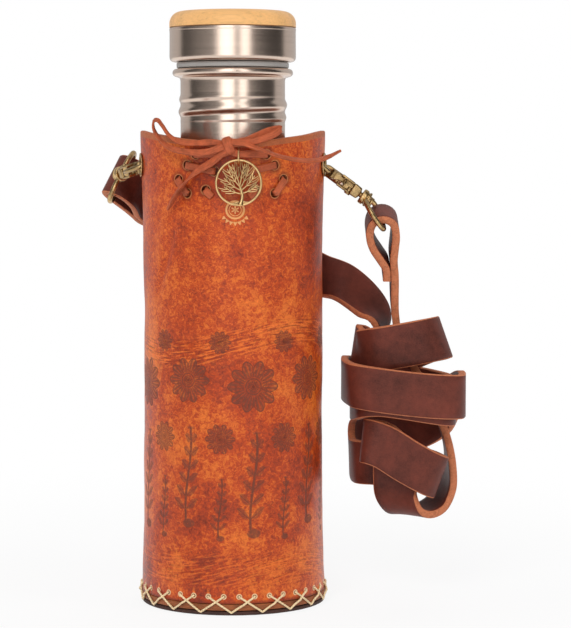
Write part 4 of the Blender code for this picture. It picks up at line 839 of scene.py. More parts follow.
# Soft dents: degrees from the front, height, half sizes across and up, slant, depth share.
DENTS = (
    (-42.0, 0.1760, 0.0140, 0.0040, 0.62, 0.90), (-43.5, 0.1570, 0.0026, 0.0170, -0.34, 1.20),
    (-20.0, 0.1860, 0.0060, 0.0050, 0.00, 0.35), (24.0, 0.1830, 0.0080, 0.0060, 0.00, 0.45),
    (-10.0, 0.1180, 0.0300, 0.0016, 0.03, 0.38), (34.0, 0.1215, 0.0200, 0.0014, -0.05, 0.30),
    (58.0, 0.1160, 0.0140, 0.0016, 0.10, 0.35), (-52.0, 0.1140, 0.0120, 0.0015, -0.10, 0.35),
    (12.0, 0.0235, 0.0260, 0.0015, 0.04, 0.35), (-34.0, 0.0200, 0.0180, 0.0014, -0.04, 0.30),
    (170.0, 0.1190, 0.0400, 0.0016, 0.02, 0.35), (-150.0, 0.0240, 0.0300, 0.0015, 0.02, 0.30),
    (120.0, 0.0850, 0.0160, 0.0080, 0.30, 0.50), (-110.0, 0.1350, 0.0180, 0.0090, -0.25, 0.55),
)
# Soft crowns, where the leather stands a little prouder.
CROWNS = (
    (0.0, 0.1720, 0.0170, 0.0150, 0.0, 0.55), (8.0, 0.0800, 0.0200, 0.0340, 0.0, 0.35),
    (-150.0, 0.0900, 0.0220, 0.0300, 0.0, 0.35),
)


def leather_form(sizes, azimuth, height):
    """How far the worn leather stands off the plain sleeve at a place, outwards."""
    total = 0.0
    for table, sign in ((DENTS, -1.0), (CROWNS, 1.0)):
        for degrees, level, wide, tall, slant, share in table:
            turn = (azimuth - math.radians(degrees) + math.pi) % math.tau - math.pi
            across = turn * sizes.case_radius
            up = height - level
            aside, along = across + up * slant, up - across * slant
            fall = (aside / wide) ** 2 + (along / tall) ** 2
            if fall < 9.0:
                total += sign * sizes.dent_depth * share * math.exp(-fall)
    spot = round_case(azimuth, sizes.case_radius, height)
    total += 0.00035 * noise.noise(spot * 38.0)
    total += 0.00010 * noise.noise(spot * 160.0)
    near_eyelet = abs(abs(azimuth) - math.pi / 2) < 0.42 and height > 0.180
    near_foot = max(0.0, min(1.0, (height - 0.0100) / 0.006))
    return total * (0.25 if near_eyelet else 1.0) * near_foot


# Where the small drawings stand between the large ones, in degrees from the front.
BETWEEN_DEGREES = (-7.0, 35.0, -48.0, 77.0, 119.0, -90.0, -132.0)
# Burnt rosettes: degrees from the front, height, radius.
ROSETTES = (
    (-28.0, 0.1010, 0.0105), (14.0, 0.0985, 0.0120), (56.0, 0.1010, 0.0105),
    (-68.0, 0.0985, 0.0115), (98.0, 0.0985, 0.0115), (-112.0, 0.1010, 0.0105),
    (140.0, 0.1010, 0.0105), (-152.0, 0.0985, 0.0110),
    *((degrees, 0.1175, 0.0052) for degrees in BETWEEN_DEGREES[:4]),
    *((degrees, 0.0760, 0.0070) for degrees in BETWEEN_DEGREES),
)
# Burnt sprigs: degrees from the front, height of the middle, half length.
SPRIGS = (
    (-28.0, 0.0600, 0.0210), (14.0, 0.0570, 0.0220), (56.0, 0.0600, 0.0210), (-68.0, 0.0570, 0.0210),
    (98.0, 0.0570, 0.0210), (140.0, 0.0600, 0.0210), (-112.0, 0.0600, 0.0210), (-152.0, 0.0570, 0.0210),
    *((degrees, 0.0460, 0.0130) for degrees in BETWEEN_DEGREES),
)
FAR = 9.0  # chart value of places that no drawing reaches


def nearest_chart(places, marks, wide):
    """For each face, its nearest mark and how far off that is, in the mark's own size."""
    offsets = places[:, None, :] - marks[None, :, :2]
    reach = np.linalg.norm(offsets * np.array([wide, 1.0]), axis=2) / marks[None, :, 2]
    return marks[np.argmin(reach, axis=1)], np.min(reach, axis=1)


def chart_sleeve(sizes, mesh):
    """Charts of the sleeve: its surface in metres, and each drawing and hole in its own measure."""
    radius = sizes.case_radius
    places = np.zeros(len(mesh.vertices) * 3)
    mesh.vertices.foreach_get("co", places)
    places = places.reshape(-1, 3)
    loops = np.zeros(len(mesh.loops), dtype=int)
    mesh.loops.foreach_get("vertex_index", loops)
    spots = places[loops]
    chart = np.stack((np.arctan2(spots[:, 0], -spots[:, 1]) * radius, spots[:, 2]), axis=1)
    counts = np.zeros(len(mesh.polygons), dtype=int)
    mesh.polygons.foreach_get("loop_total", counts)
    owner = np.repeat(np.arange(len(counts)), counts)
    middles = np.stack([np.bincount(owner, chart[:, axis]) / counts for axis in range(2)], axis=1)
    holes = [(degrees * sign, height, 1.0 / MILLIMETRES)
             for _, sign in SIDES for degrees, height in LACE_HOLES]
    for name, table, wide in (("Surface", None, 1.0), ("Rosette", ROSETTES, 1.0),
                              ("Sprig", SPRIGS, 2.6), ("Hole", holes, 1.0)):
        layer = mesh.uv_layers.new(name=name)
        if table is None:
            values = chart
        else:
            marks = np.array([(math.radians(degrees) * radius, height, size)
                              for degrees, height, size in table])
            chosen, reach = nearest_chart(middles, marks, wide)
            values = (chart - chosen[owner, :2]) / chosen[owner, 2:3]
            if name != "Hole":
                values[reach[owner] > 1.5 * wide] = FAR
        layer.data.foreach_set("uv", values.astype(np.float32).ravel())


def build_sleeve(sizes, colours):
    """The leather sleeve: worn form, rounded rim, open back seam and holes for lace and eyelets."""
    columns, rows = 236, 112
    half_turn = math.pi - SEAM_GAP / 2 / sizes.case_radius
    thickness = sizes.leather_thickness
    rounding = thickness * 0.30
    levels = [(share, 0.0, 0.0) for share in np.linspace(0.0, 1.0, rows)]
    outer = levels[:-1] + [(1.0, -rounding * math.sin(turn), rounding * (1 - math.cos(turn)))
                           for turn in np.linspace(0.0, math.pi / 2, 4)]
    inner = [(share, drop, thickness - inset) for share, drop, inset in outer]
    profile = outer + inner[::-1]
    corners = []
    for column in range(columns + 1):
        azimuth = -half_turn + 2 * half_turn * column / columns
        top = rim_height(azimuth) - rounding
        wave = 0.0005 * noise.noise(round_case(azimuth, 0.05, 0.4) * 40.0)
        for share, drop, inset in profile:
            height = CASE_BOTTOM + share * (top - CASE_BOTTOM + wave * share) - drop
            stand = leather_form(sizes, azimuth, height)
            corners.append(round_case(azimuth, sleeve_radius(sizes, height) + stand - inset, height))
    count = len(profile)
    faces, kinds = [], []
    outer_count = len(outer)
    for column in range(columns):
        for side in range(count):
            beside = (side + 1) % count
            faces.append((column * count + side, (column + 1) * count + side,
                          (column + 1) * count + beside, column * count + beside))
            inside = outer_count + 4 <= side < count - 1
            kinds.append(0 if side < rows - 2 else (1 if inside else 2))
    for column in (0, columns):
        for side in range(outer_count - 1):
            other = count - 1 - side
            faces.append(tuple(column * count + spot for spot in (side, side + 1, other - 1, other)))
            kinds.append(2)
    mesh = mesh_of("case_leather", corners, faces)
    mesh.polygons.foreach_set("material_index", kinds)
    outward(mesh)
    finishes = (marbled_leather(colours, sizes),
                raw_leather("flesh_side", colours.raw_leather),
                raw_leather("burnished_rim", ink(180, 96, 52), 700.0, 0.35, 0.5))
    sleeve = linked("case_leather", mesh, finishes)
    cut_holes(sizes, sleeve, finishes)
    chart_sleeve(sizes, sleeve.data)
    shaded(sleeve, 50.0)
    hand_over(sleeve, "case", "case_shell")


def cut_holes(sizes, sleeve, finishes):
    """Cut the holes for the lace and the eyelets through the sleeve."""
    thickness = sizes.leather_thickness
    cutters = []
    for _, sign in SIDES:
        for degrees, height in LACE_HOLES:
            cutters.append((math.radians(degrees) * sign, height, LACE_HOLE_RADIUS))
        for turn in (-1, 1):
            azimuth = math.pi / 2 + turn * math.asin(EYELET_HALF_SPACING / CASE_RADIUS)
            cutters.append((sign * azimuth, EYELET_HEIGHT, EYELET_BORE + 0.0006))
    work = bmesh.new()
    for azimuth, height, hole in cutters:
        middle = round_case(azimuth, sleeve_radius(sizes, height) - thickness / 2, height)
        bmesh.ops.create_cone(work, cap_ends=True, segments=28, radius1=hole, radius2=hole,
                              depth=thickness * 2.6, matrix=pointed(middle, round_case(azimuth, 1.0, 0.0)))
    cutter_mesh = mesh_from("hole_cutter", work)
    for face in cutter_mesh.polygons:
        face.material_index = 1
    cutter = linked("hole_cutter", cutter_mesh, finishes)
    change = sleeve.modifiers.new("Holes", "BOOLEAN")
    change.operation = "DIFFERENCE"
    change.object = cutter
    plain(sleeve)
    bpy.data.objects.remove(cutter, do_unlink=True)


def plain(item):
    """Replace an object's mesh by its evaluated one and drop the modifiers."""
    bpy.context.view_layer.update()
    evaluated = item.evaluated_get(bpy.context.evaluated_depsgraph_get())
    mesh = bpy.data.meshes.new_from_object(evaluated)
    item.modifiers.clear()
    item.data = mesh
    return item


def build_base(sizes, colours):
    """The tan base layer and the dark sole under it."""
    radius = sizes.case_radius + CASE_FLARE
    layers = (("base_layer", 0.0020, BASE_TOP, "base_disc", "base_leather",
               layered_leather("base_edge_leather", colours.base_edge, 0.55)),
              ("sole_layer", 0.0, 0.0017, "base_sole", "sole_leather",
               layered_leather("sole_edge_leather", colours.sole, 0.7)))
    for name, low, high, node, slot, finish in layers:
        profile = softened([(0.0, high), (radius, high), (radius, low), (0.0, low)], 0.0005)
        item = turned(name, profile, [finish], 160,
                      lambda turn, out, height: out + (0.00012 * noise.noise(
                          Vector((math.sin(turn) * 14.0, math.cos(turn) * 14.0, height * 300.0)))
                          if out > radius * 0.9 else 0.0))
        hand_over(item, "case", node)


def stitch_leg(sizes, start, end, over, finish):
    """One leg of a crossed stitch, between two (azimuth, height) holes, its ends bent into them."""
    radius = sizes.thread_radius
    points = []
    for share in (-0.06, 0.0, 0.04, 0.12, 0.25, 0.38, 0.5, 0.62, 0.75, 0.88, 0.96, 1.0, 1.06):
        azimuth = start[0] + (end[0] - start[0]) * min(1.0, max(0.0, share))
        height = start[1] + (end[1] - start[1]) * min(1.0, max(0.0, share))
        base = max(sleeve_radius(sizes, max(height, CASE_BOTTOM)),
                   sizes.case_radius + CASE_FLARE if height < CASE_BOTTOM else 0.0)
        middle = max(0.0, 1.0 - abs(share - 0.5) / 0.22)
        sunk = 0.0 if 0.0 < share < 1.0 else (0.5 if share in (0.0, 1.0) else 2.2)
        lift = radius * (1.0 + over * middle * 1.5 - sunk)
        points.append(round_case(azimuth, base + lift, height))
    rows = route([tuple(point) for point in points], radius * 0.8)
    return wire("stitch_leg", rows, radius, [finish], 10)


def copies_tree():
    """Node tree that sets copies of an object, each a step further round the case and up it."""
    tree = bpy.data.node_groups.new("Copies round the case", "GeometryNodeTree")
    face = tree.interface
    face.new_socket("Geometry", in_out="INPUT", socket_type="NodeSocketGeometry")
    inputs = {label: face.new_socket(label, in_out="INPUT", socket_type="NodeSocket" + kind).identifier
              for label, kind in (("Copy", "Object"), ("Count", "Int"), ("Start Turn", "Float"),
                                  ("Turn Step", "Float"), ("Height Step", "Float"), ("Finish", "Material"))}
    face.new_socket("Geometry", in_out="OUTPUT", socket_type="NodeSocketGeometry")
    group = tree.nodes.new("NodeGroupInput")
    given = {label: Signal(tree, group.outputs[label]) for label in inputs}
    index = made(tree, "GeometryNodeInputIndex", 0, {})
    turn = index.math("MULTIPLY_ADD", given["Turn Step"], given["Start Turn"])
    rise = index * given["Height Step"]
    place, turned_by = (made(tree, "ShaderNodeCombineXYZ", 0, {"Z": value}) for value in (rise, turn))
    points = made(tree, "GeometryNodePoints", 0, {"Count": given["Count"], "Position": place})
    source = made(tree, "GeometryNodeObjectInfo", "Geometry", {"Object": given["Copy"]})
    spread = made(tree, "GeometryNodeInstanceOnPoints", 0,
                  {"Points": points, "Instance": source, "Rotation": turned_by})
    real = made(tree, "GeometryNodeRealizeInstances", 0, {0: spread})
    dressed = made(tree, "GeometryNodeSetMaterial", 0, {"Geometry": real, "Material": given["Finish"]})
    fill(tree, tree.nodes.new("NodeGroupOutput"), {0: dressed})
    return tree, inputs


def repeated(name, source, count, start_turn, turn_step, height_step, finish):
    """A plain mesh of copies of an object, made by the node tree; the source is removed."""
    tree, inputs = copies_tree()
    item = linked(name, bpy.data.meshes.new(name), [])
    change = item.modifiers.new("Copies", "NODES")
    change.node_group = tree
    for label, value in (("Copy", source), ("Count", count), ("Start Turn", start_turn),
                         ("Turn Step", turn_step), ("Height Step", height_step), ("Finish", finish)):
        change[inputs[label]] = value
    plain(item)
    bpy.data.objects.remove(source, do_unlink=True)
    return shaded(item, 60.0)


def build_stitches(sizes, colours):
    """Crossed stitches round the foot and up the back seam."""
    finish = twisted_thread(colours)
    pitch = math.tau / sizes.foot_stitches
    low, high = 0.0013, CASE_BOTTOM + STITCH_HOLE_RISE
    legs = [stitch_leg(sizes, (-pitch / 4, high), (pitch / 2, low), 0.0, finish),
            stitch_leg(sizes, (pitch / 4, high), (-pitch / 2, low), 1.0, finish)]
    foot = repeated("foot_stitches", joined("foot_cross", legs), sizes.foot_stitches, pitch / 2, pitch, 0.0,
                    finish)
    half, start, step = 0.0050 / sizes.case_radius, 0.0150, 0.0125
    legs = [stitch_leg(sizes, (math.pi - half, start + step), (math.pi + half, start), 0.0, finish),
            stitch_leg(sizes, (math.pi - half, start), (math.pi + half, start + step), 1.0, finish)]
    seam = repeated("seam_stitches", joined("seam_cross", legs), sizes.seam_stitches, 0.0, 0.0, step, finish)
    for item, node in ((foot, "base_thread"), (seam, "seam_thread")):
        hand_over(item, "case", node)


def build_eyelets(sizes, colours):
    """Four rolled eyelets in the mouth, two on each side."""
    finish = antique_brass(colours)
    outer = EYELET_BORE + FIT_GAP
    flange = outer + 0.0010
    reach = sizes.leather_thickness / 2 + 0.00025
    top = reach + 0.00055
    profile = softened([(EYELET_BORE, 0.0), (EYELET_BORE, top), (flange, top), (flange, reach),
                        (outer, reach), (outer, -reach), (flange, -reach), (flange, -top),
                        (EYELET_BORE, -top), (EYELET_BORE, 0.0)], 0.0005, 3)[:-1]
    middle = sleeve_radius(sizes, EYELET_HEIGHT) - sizes.leather_thickness / 2
    for side, sign in SIDES:
        for end, turn in (("front", -1), ("rear", 1)):
            azimuth = sign * (math.pi / 2 + turn * math.asin(EYELET_HALF_SPACING / CASE_RADIUS))
            item = turned(f"rim_ring_{side}_{end}", profile, [finish], 48)
            item.data.transform(pointed(round_case(azimuth, middle, EYELET_HEIGHT),
                                        round_case(azimuth, 1.0, 0.0)))
            hand_over(item, "case", f"eyelet_{side}_{end}")


# Bottle and cap

def neck_out(turn, radius, height):
    """Radius of the neck with its rolled thread, which climbs one pitch a turn."""
    on_neck = NECK_RADIUS * 0.94 <= radius <= NECK_RADIUS * 1.02
    if not on_neck or not THREAD_LOW < height < THREAD_HIGH:
        return radius
    share = (height - THREAD_LOW) / (THREAD_HIGH - THREAD_LOW)
    fade = min(1.0, 4.0 * share, 4.0 * (1.0 - share))
    phase = math.tau * (height - THREAD_LOW) / THREAD_PITCH - turn
    return radius + THREAD_DEPTH * fade * (0.5 + 0.5 * math.cos(phase))


def build_bottle(sizes, colours):
    """The brushed steel bottle, with its shoulder, rolled thread and rolled lip."""
    wall, bottom = BOTTLE_WALL, BASE_TOP + FIT_GAP
    radius, shoulder, lip, bead = sizes.bottle_radius, SHOULDER_HEIGHT, LIP_RADIUS, LIP_BEAD
    corner = radius - NECK_RADIUS
    outer = [(0.0, bottom + 0.0012), (radius * 0.62, bottom + 0.0012), (radius * 0.80, bottom),
             (radius * 0.93, bottom), (radius, bottom + 0.0030), (radius, shoulder)]
    outer = softened(outer, 0.0025, 5)
    for share in np.linspace(0.0, 1.0, 24)[1:]:
        outer.append((NECK_RADIUS + corner * (0.5 + 0.5 * math.cos(share * math.pi)),
                      shoulder + (NECK_FOOT - shoulder) * share))
    outer += [(NECK_RADIUS, height) for height in np.arange(NECK_LOW, NECK_HIGH, 0.00035)]
    rolled = [(NECK_RADIUS + 0.0003, LIP_HEIGHT - 2 * bead - 0.0006), (lip - bead, LIP_HEIGHT - 2 * bead)]
    rolled += [(lip - bead + bead * math.cos(turn), LIP_HEIGHT - bead + bead * math.sin(turn))
               for turn in np.linspace(-math.pi / 2, math.pi / 2, 14)[1:]]
    inner = [(NECK_RADIUS - wall + 0.0006, LIP_HEIGHT), (NECK_RADIUS - wall, LIP_HEIGHT - 0.0008)]
    inner += [(NECK_RADIUS - wall, height) for height in np.arange(NECK_HIGH, NECK_LOW, -0.0007)]
    for share in np.linspace(1.0, 0.0, 20)[1:]:
        inner.append((NECK_RADIUS - wall + corner * (0.5 + 0.5 * math.cos(share * math.pi)),
                      shoulder + (NECK_FOOT - shoulder) * share))
    inner += softened([(radius - wall, shoulder - 0.002), (radius - wall, bottom + 0.0040),
                       (radius * 0.90, bottom + 0.0022), (0.0, bottom + 0.0022)], 0.002, 4)
    item = turned("steel_bottle", outer + rolled + inner, [brushed_steel(colours)], 160, neck_out, 35.0)
    hand_over(item, "bottle", "bottle_shell")


def build_cap(sizes, colours):
    """The cap: steel cup, bamboo top, threaded plug, and the seal under it."""
    radius, wall = sizes.cap_radius, CAP_WALL
    hole = SEAL_RADIUS - 0.00175
    inside = radius - wall
    cup = softened([(inside, CAP_SHELL_TOP - 0.001), (inside + 0.0001, CAP_SHELL_TOP),
                    (radius, CAP_SHELL_TOP), (radius, CAP_SHELL_TOP - 0.0012),
                    (radius - 0.00008, CAP_SHELL_TOP - 0.0015), (radius - 0.00008, CAP_SHELL_TOP - 0.0050),
                    (radius, CAP_BOTTOM), (hole, CAP_BOTTOM), (hole, CAP_BOTTOM + wall),
                    (inside, CAP_BOTTOM + wall), (inside, CAP_SHELL_TOP - 0.001)], 0.0028, 8)
    steel = brushed_steel(colours, "brushed_steel_cup", 0.24)
    shell = turned("cap_cup", cup[:-1], [steel], 160, None, 30.0)
    seat, spigot = CAP_SHELL_TOP + FIT_GAP, inside - FIT_GAP
    low = CAP_SHELL_TOP - 0.0027
    crown = CAP_TOP - 0.0010
    round_over = min(0.0052, crown - seat - 0.0004)
    wood = [(radius - round_over * (1.0 - math.sin(turn)), crown - round_over * (1.0 - math.cos(turn)))
            for turn in np.linspace(0.0, math.pi / 2, 14)]
    wood = [(0.0, crown)] + wood + [(radius, seat), (spigot, seat), (spigot, low), (0.0, low)]
    top = turned("cap_bamboo", wood, [bamboo_wood(colours)], 128, None, 50.0)
    plug_top, plug_low = CAP_SHELL_TOP - 0.0030, LIP_HEIGHT - 0.0210
    rest = CAP_BOTTOM + wall + FIT_GAP
    profile = [(0.0, plug_top), (spigot, plug_top), (spigot, rest + 0.003), (hole - FIT_GAP, rest),
               (PLUG_RADIUS, rest)]
    profile += [(PLUG_RADIUS, height) for height in np.arange(LIP_HEIGHT - 0.004, plug_low + 0.0012, -0.0004)]
    profile += [(PLUG_RADIUS, plug_low), (PLUG_BORE, plug_low), (PLUG_BORE, plug_top - 0.002),
                (0.0, plug_top - 0.002)]

    def ribbed(turn, out, height):
        if abs(out - PLUG_RADIUS) > 0.00001 or not plug_low + 0.001 < height < LIP_HEIGHT - 0.004:
            return out
        climb = (height - plug_low - 0.002) / THREAD_PITCH - turn / math.tau
        return out + 0.0007 * max(0.0, math.cos(math.tau * climb)) ** 2

    plug = turned("cap_thread_plug", profile,
                  [moulded("plug_plastic_moulded", ink(214, 212, 206), 0.4)], 96, ribbed, 35.0)
    bottom, height = LIP_HEIGHT + FIT_GAP, CAP_BOTTOM - FIT_GAP
    ring = softened([(SEAL_BORE, height), (SEAL_RADIUS, height), (SEAL_RADIUS, bottom),
                     (SEAL_BORE, bottom), (SEAL_BORE, height)], 0.0007, 4)
    seal = turned("cap_seal_ring", ring[:-1],
                  [moulded("seal_rubber_moulded", ink(176, 172, 168), 0.42)], 96)
    for item, body, node, slot in ((shell, "cap", "cap_shell", "brushed_steel"),
                                   (top, "cap", "cap_top", "bamboo"),
                                   (plug, "cap", "cap_plug", "plug_plastic"),
                                   (seal, "seal", "cap_seal", "seal_rubber")):
        hand_over(item, body, node)


# Snap hooks and strap eyes

def hook_frame(side):
    """Ring centre and the three directions of a hook: along it, across to its gate, and square to both."""
    sign = dict(SIDES)[side]
    drop, turn = math.radians(HOOK_DROPS[side]), math.radians(HOOK_TURNS[side])
    outward_way = Vector((sign * math.cos(drop), 0.0, -math.sin(drop)))
    backward = Vector((0.0, 1.0, 0.0))
    wall_middle = CASE_RADIUS + CASE_FLARE / 2 - LEATHER_THICKNESS / 2
    chord = math.sqrt(wall_middle ** 2 - EYELET_HALF_SPACING ** 2)
    inset = math.sqrt(RING_RADIUS ** 2 - EYELET_HALF_SPACING ** 2)
    centre = Vector((sign * chord, 0.0, EYELET_HEIGHT)) + outward_way * inset
    length_way = outward_way * math.cos(turn) + backward * math.sin(turn)
    gate_way = outward_way * math.sin(turn) - backward * math.cos(turn)
    return centre, length_way, gate_way, length_way.cross(gate_way)


HOOK_BODY_START = RING_RADIUS * 1.2
HOOK_LENGTH = HOOK_BODY_START + HOOK_BODY_LENGTH
COLLAR_MIDDLE = HOOK_LENGTH + FIT_GAP + COLLAR_LENGTH / 2
GATE_PIVOT = (RING_RADIUS * 1.43, HOOK_BODY_WIDTH * 0.28)


def bar_centre(side):
    centre, way_u, *_ = hook_frame(side)
    return centre + way_u * COLLAR_MIDDLE + Vector(BAR_OFFSETS[side])


def bar_way(side):
    return Vector(BAR_SHARES[side]).normalized()


def turned_post(name, rows, finish):
    """Turned bar along X from (place along, radius) rows."""
    profile = [(radius, along) for along, radius in rows]
    item = turned(name, profile, [finish], 40)
    item.data.transform(Matrix.Rotation(math.pi / 2, 4, "Y"))
    return item


def rounded_block(name, middle, size, rounding, segments, finish, narrow_from=None):
    """Block with rounded edges, drawn in a little past a place along X."""
    work = bmesh.new()
    bmesh.ops.create_cube(work, size=1.0, matrix=Matrix.Translation(middle) @ Matrix.Diagonal((*size, 1.0)))
    for corner in work.verts:
        if narrow_from is not None and corner.co.x > narrow_from:
            corner.co.y *= 0.9
            corner.co.z *= 0.9
    bmesh.ops.bevel(work, geom=list(work.edges), offset=rounding, segments=segments, affect="EDGES",
                    profile=0.5)
    return shaded(linked(name, mesh_from(name, work), [finish]))


def hook_body(finish):
    """Cast body of the hook, with its two cheeks round the gate's foot and its thumb lug."""
    start, length = HOOK_BODY_START, HOOK_BODY_LENGTH
    half_width, half_thick = HOOK_BODY_WIDTH / 2, HOOK_THICKNESS / 2
    wall, pieces = 0.0009, []
    for cheek in (-1, 1):
        pieces.append(rounded_block(
            "cheek", (start + length * 0.29, half_width * 0.36, cheek * (half_thick - wall / 2)),
            (length * 0.62, half_width * 1.18, wall), 0.0004, 3, finish))
    for low, high, y_low, y_high in ((-0.0006, length, -1.0, -0.16), (length * 0.60, length, -1.0, 0.92)):
        pieces.append(rounded_block(
            "body", (start + (low + high) / 2, half_width * (y_low + y_high) / 2, 0.0),
            (high - low, half_width * (y_high - y_low), HOOK_THICKNESS), 0.0009, 4, finish,
            start + length * 0.9))
    for piece in pieces:
        for corner in piece.data.vertices:
            if start < corner.co.x < start + length * 0.97:
                corner.co.z *= 1.22
    foot, head = HOOK_LENGTH, HOOK_LENGTH + COLLAR_LENGTH
    collar, rivet = HOOK_POST_RADIUS * 1.7, 0.0021
    pieces.append(turned_post("post", softened([
        (foot - 0.0006, 0.0), (foot - 0.0006, collar), (foot - 0.0001, collar),
        (foot - 0.0001, HOOK_POST_RADIUS), (head + 0.0007, HOOK_POST_RADIUS), (head + 0.0007, rivet),
        (head + 0.0018, rivet), (head + 0.0018, 0.0)], 0.0003, 3), finish))
    lug = turned("lug", softened([(0.0, 0.0035), (0.0014, 0.0035), (0.0014, 0.0026), (0.0011, 0.0020),
                                  (0.0011, 0.0), (0.0, 0.0)], 0.0005, 4), [finish], 32)
    lug.data.transform(Matrix.Translation((start + length * 0.55, HOOK_BODY_WIDTH * 0.12, 0.0)))
    return pieces + [lug]


def ring_place(degrees, height=0.0):
    turn = math.radians(degrees)
    return (RING_RADIUS * math.cos(turn), RING_RADIUS * math.sin(turn), height)


def build_hooks(sizes, colours):
    """The two swivel snap hooks with their gates, pins and springs."""
    finish = antique_brass(colours, "dark_bronze_worn", 0.72, 0.04)
    half = HOOK_THICKNESS / 2
    for side, _ in SIDES:
        centre, way_u, way_v, way_n = hook_frame(side)
        matrix = placed_matrix(centre, way_u, way_v, way_n)
        angles = [64, 74, 85] + list(range(100, 341, 15)) + [343]
        stations = [(*ring_place(angle), 0.0, 0.0, 1.0) for angle in angles]
        stations.append((HOOK_BODY_START + HOOK_BODY_WIDTH / 4, -HOOK_BODY_WIDTH * 0.3, 0.0, *UP))
        rows = route(stations, 0.00045)
        places, across, facing = strip_frames(rows)
        wide = HOOK_THICKNESS / sizes.hook_wire
        shares = []
        for index in range(len(rows)):
            share = index / (len(rows) - 1)
            tip = min(1.0, 0.55 + share / 0.05)
            growth = min(1.0, max(0.0, (share - 0.60) / 0.13))
            shares.append((tip * (1.0 + (wide * 1.12 - 1.0) * growth * growth * (3 - 2 * growth)),
                           tip * (1.0 + 0.20 * growth)))
        section = circle(sizes.hook_wire / 2, 20)
        ring = swept("ring", places, across, facing, section, [finish], False, shares)
        hook = joined(f"{side}_snap_hook", [ring] + hook_body(finish))
        gate = build_gate(side, finish)
        pin = turned(f"{side}_pin", softened([
            (0.0, -half - 0.0003), (0.0010, -half - 0.0003), (0.0010, -half), (0.0006, -half), (0.0006, half),
            (0.0010, half), (0.0010, half + 0.0003), (0.0, half + 0.0003)], 0.00025, 3), [finish], 24)
        pin.data.transform(Matrix.Translation((*GATE_PIVOT, 0.0)))
        low, high, radius, end = 0.0007, 0.0014, 0.0011, 2.5 * math.tau
        coil = [(GATE_PIVOT[0] + radius * math.cos(turn), GATE_PIVOT[1] + radius * math.sin(turn),
                 low + (high - low) * turn / end) for turn in np.linspace(0.0, end, 60)]
        spring = wire(f"{side}_spring", coil, 0.0002, [brushed_steel(colours, "spring_steel", 0.3)], 8)
        for item, body, node, slot in ((hook, f"{side}_hook", f"{side}_hook", "antique_brass"),
                                       (gate, f"{side}_gate", f"{side}_gate", "antique_brass"),
                                       (pin, f"{side}_hook", f"{side}_gate_pin", "antique_brass"),
                                       (spring, f"{side}_hook", f"{side}_gate_spring", "brushed_steel")):
            item.data.transform(matrix)
            hand_over(item, body, node)


def build_gate(side, finish):
    """Gate from its knuckle on the pin to the hook's tip."""
    slot_half = HOOK_THICKNESS / 2 - 0.0006
    low, high = -slot_half + FIT_GAP, slot_half * 0.12
    offset, narrow = (low + high) / 2, (high - low) / HOOK_THICKNESS
    knuckle = GATE_PIVOT
    thick = 0.0017
    stations = [(knuckle[0], knuckle[1] + thick * 0.45, offset, *UP, narrow),
                (knuckle[0] - RING_RADIUS * 0.20, knuckle[1] + RING_RADIUS * 0.32, offset, *UP, narrow),
                (*ring_place(39.0, offset * 0.3), 0.0, 0.0, 1.0, 0.78),
                (*ring_place(48.0), 0.0, 0.0, 1.0, 0.80),
                (*ring_place(57.0), 0.0, 0.0, 1.0, 0.82)]
    rows = route(stations, 0.0004)
    places, across, facing = strip_frames(rows)
    section = flat_section(HOOK_THICKNESS, thick, 0.0005)
    bar = swept("bar", places, across, facing, section, [finish], False,
                [(share, 1.0) for share in rows[:, 6]])
    half = (high - low) / 2
    barrel = turned("barrel", softened([(0.0008, -half), (0.00145, -half), (0.00145, half), (0.0008, half),
                                        (0.0008, -half)], 0.0003, 3)[:-1], [finish], 32)
    barrel.data.transform(Matrix.Translation((*knuckle, offset)))
    return joined(f"{side}_snap_gate", [bar, barrel])


def build_eyes(sizes, colours):
    """The two strap eyes: a ridged collar that the hook's post turns in, and a wire loop."""
    finish = antique_brass(colours)
    for side, _ in SIDES:
        centre, way_u, *_ = hook_frame(side)
        middle = centre + way_u * COLLAR_MIDDLE
        way, bar = bar_way(side), bar_centre(side)
        bore, ridge, waist = HOOK_POST_RADIUS + FIT_GAP, COLLAR_RADIUS * 1.02, COLLAR_RADIUS * 0.86
        half = COLLAR_LENGTH / 2 * 0.8
        profile = [(bore, -half), (ridge * 0.92, -half), (ridge, -half * 0.75), (ridge, half * 0.05),
                   (waist, half * 0.18), (waist, half * 0.40), (ridge, half * 0.55), (ridge, half * 0.85),
                   (ridge * 0.92, half), (bore, half), (bore, -half)]
        collar = turned("collar", softened(profile, 0.0004, 3)[:-1], [finish], 48)
        collar.data.transform(pointed(middle, way_u))
        down = (bar - middle).normalized()
        legs = []
        for sign in (1, -1):
            legs.append([middle + way * COLLAR_RADIUS * 0.8 * sign,
                         middle + way * EYE_HALF_WIDTH * 0.62 * sign + down * sizes.eye_wire * 0.6,
                         middle + way * EYE_HALF_WIDTH * sign + (bar - middle) * 0.38,
                         bar + way * EYE_HALF_WIDTH * sign - down * sizes.eye_wire * 1.8,
                         bar + way * EYE_HALF_WIDTH * 0.87 * sign])
        points = legs[0] + [bar] + legs[1][::-1]
        rows = route([tuple(point) for point in points], 0.0007)
        loop = wire("loop", rows, sizes.eye_wire, [finish], 18)
        eye = joined(f"{side}_strap_eye", [collar, loop])
        hand_over(eye, "strap", f"{side}_eye")


# Strap

# Places behind the case: shares of its radius sideways and backwards, and of its height, then the
# width way.
BACK_SHARES = (
    (-0.64, 1.37, 0.838, -0.42, -0.05, -0.90), (-0.28, 1.31, 0.812, -0.42, 0.00, -0.91),
    (0.08, 1.21, 0.776, -0.42, 0.00, -0.91), (0.50, 1.12, 0.745, -0.38, 0.00, -0.92),
    (0.80, 0.94, 0.720, -0.36, -0.12, -0.92), (0.98, 0.76, 0.703, -0.36, -0.30, -0.88),
)

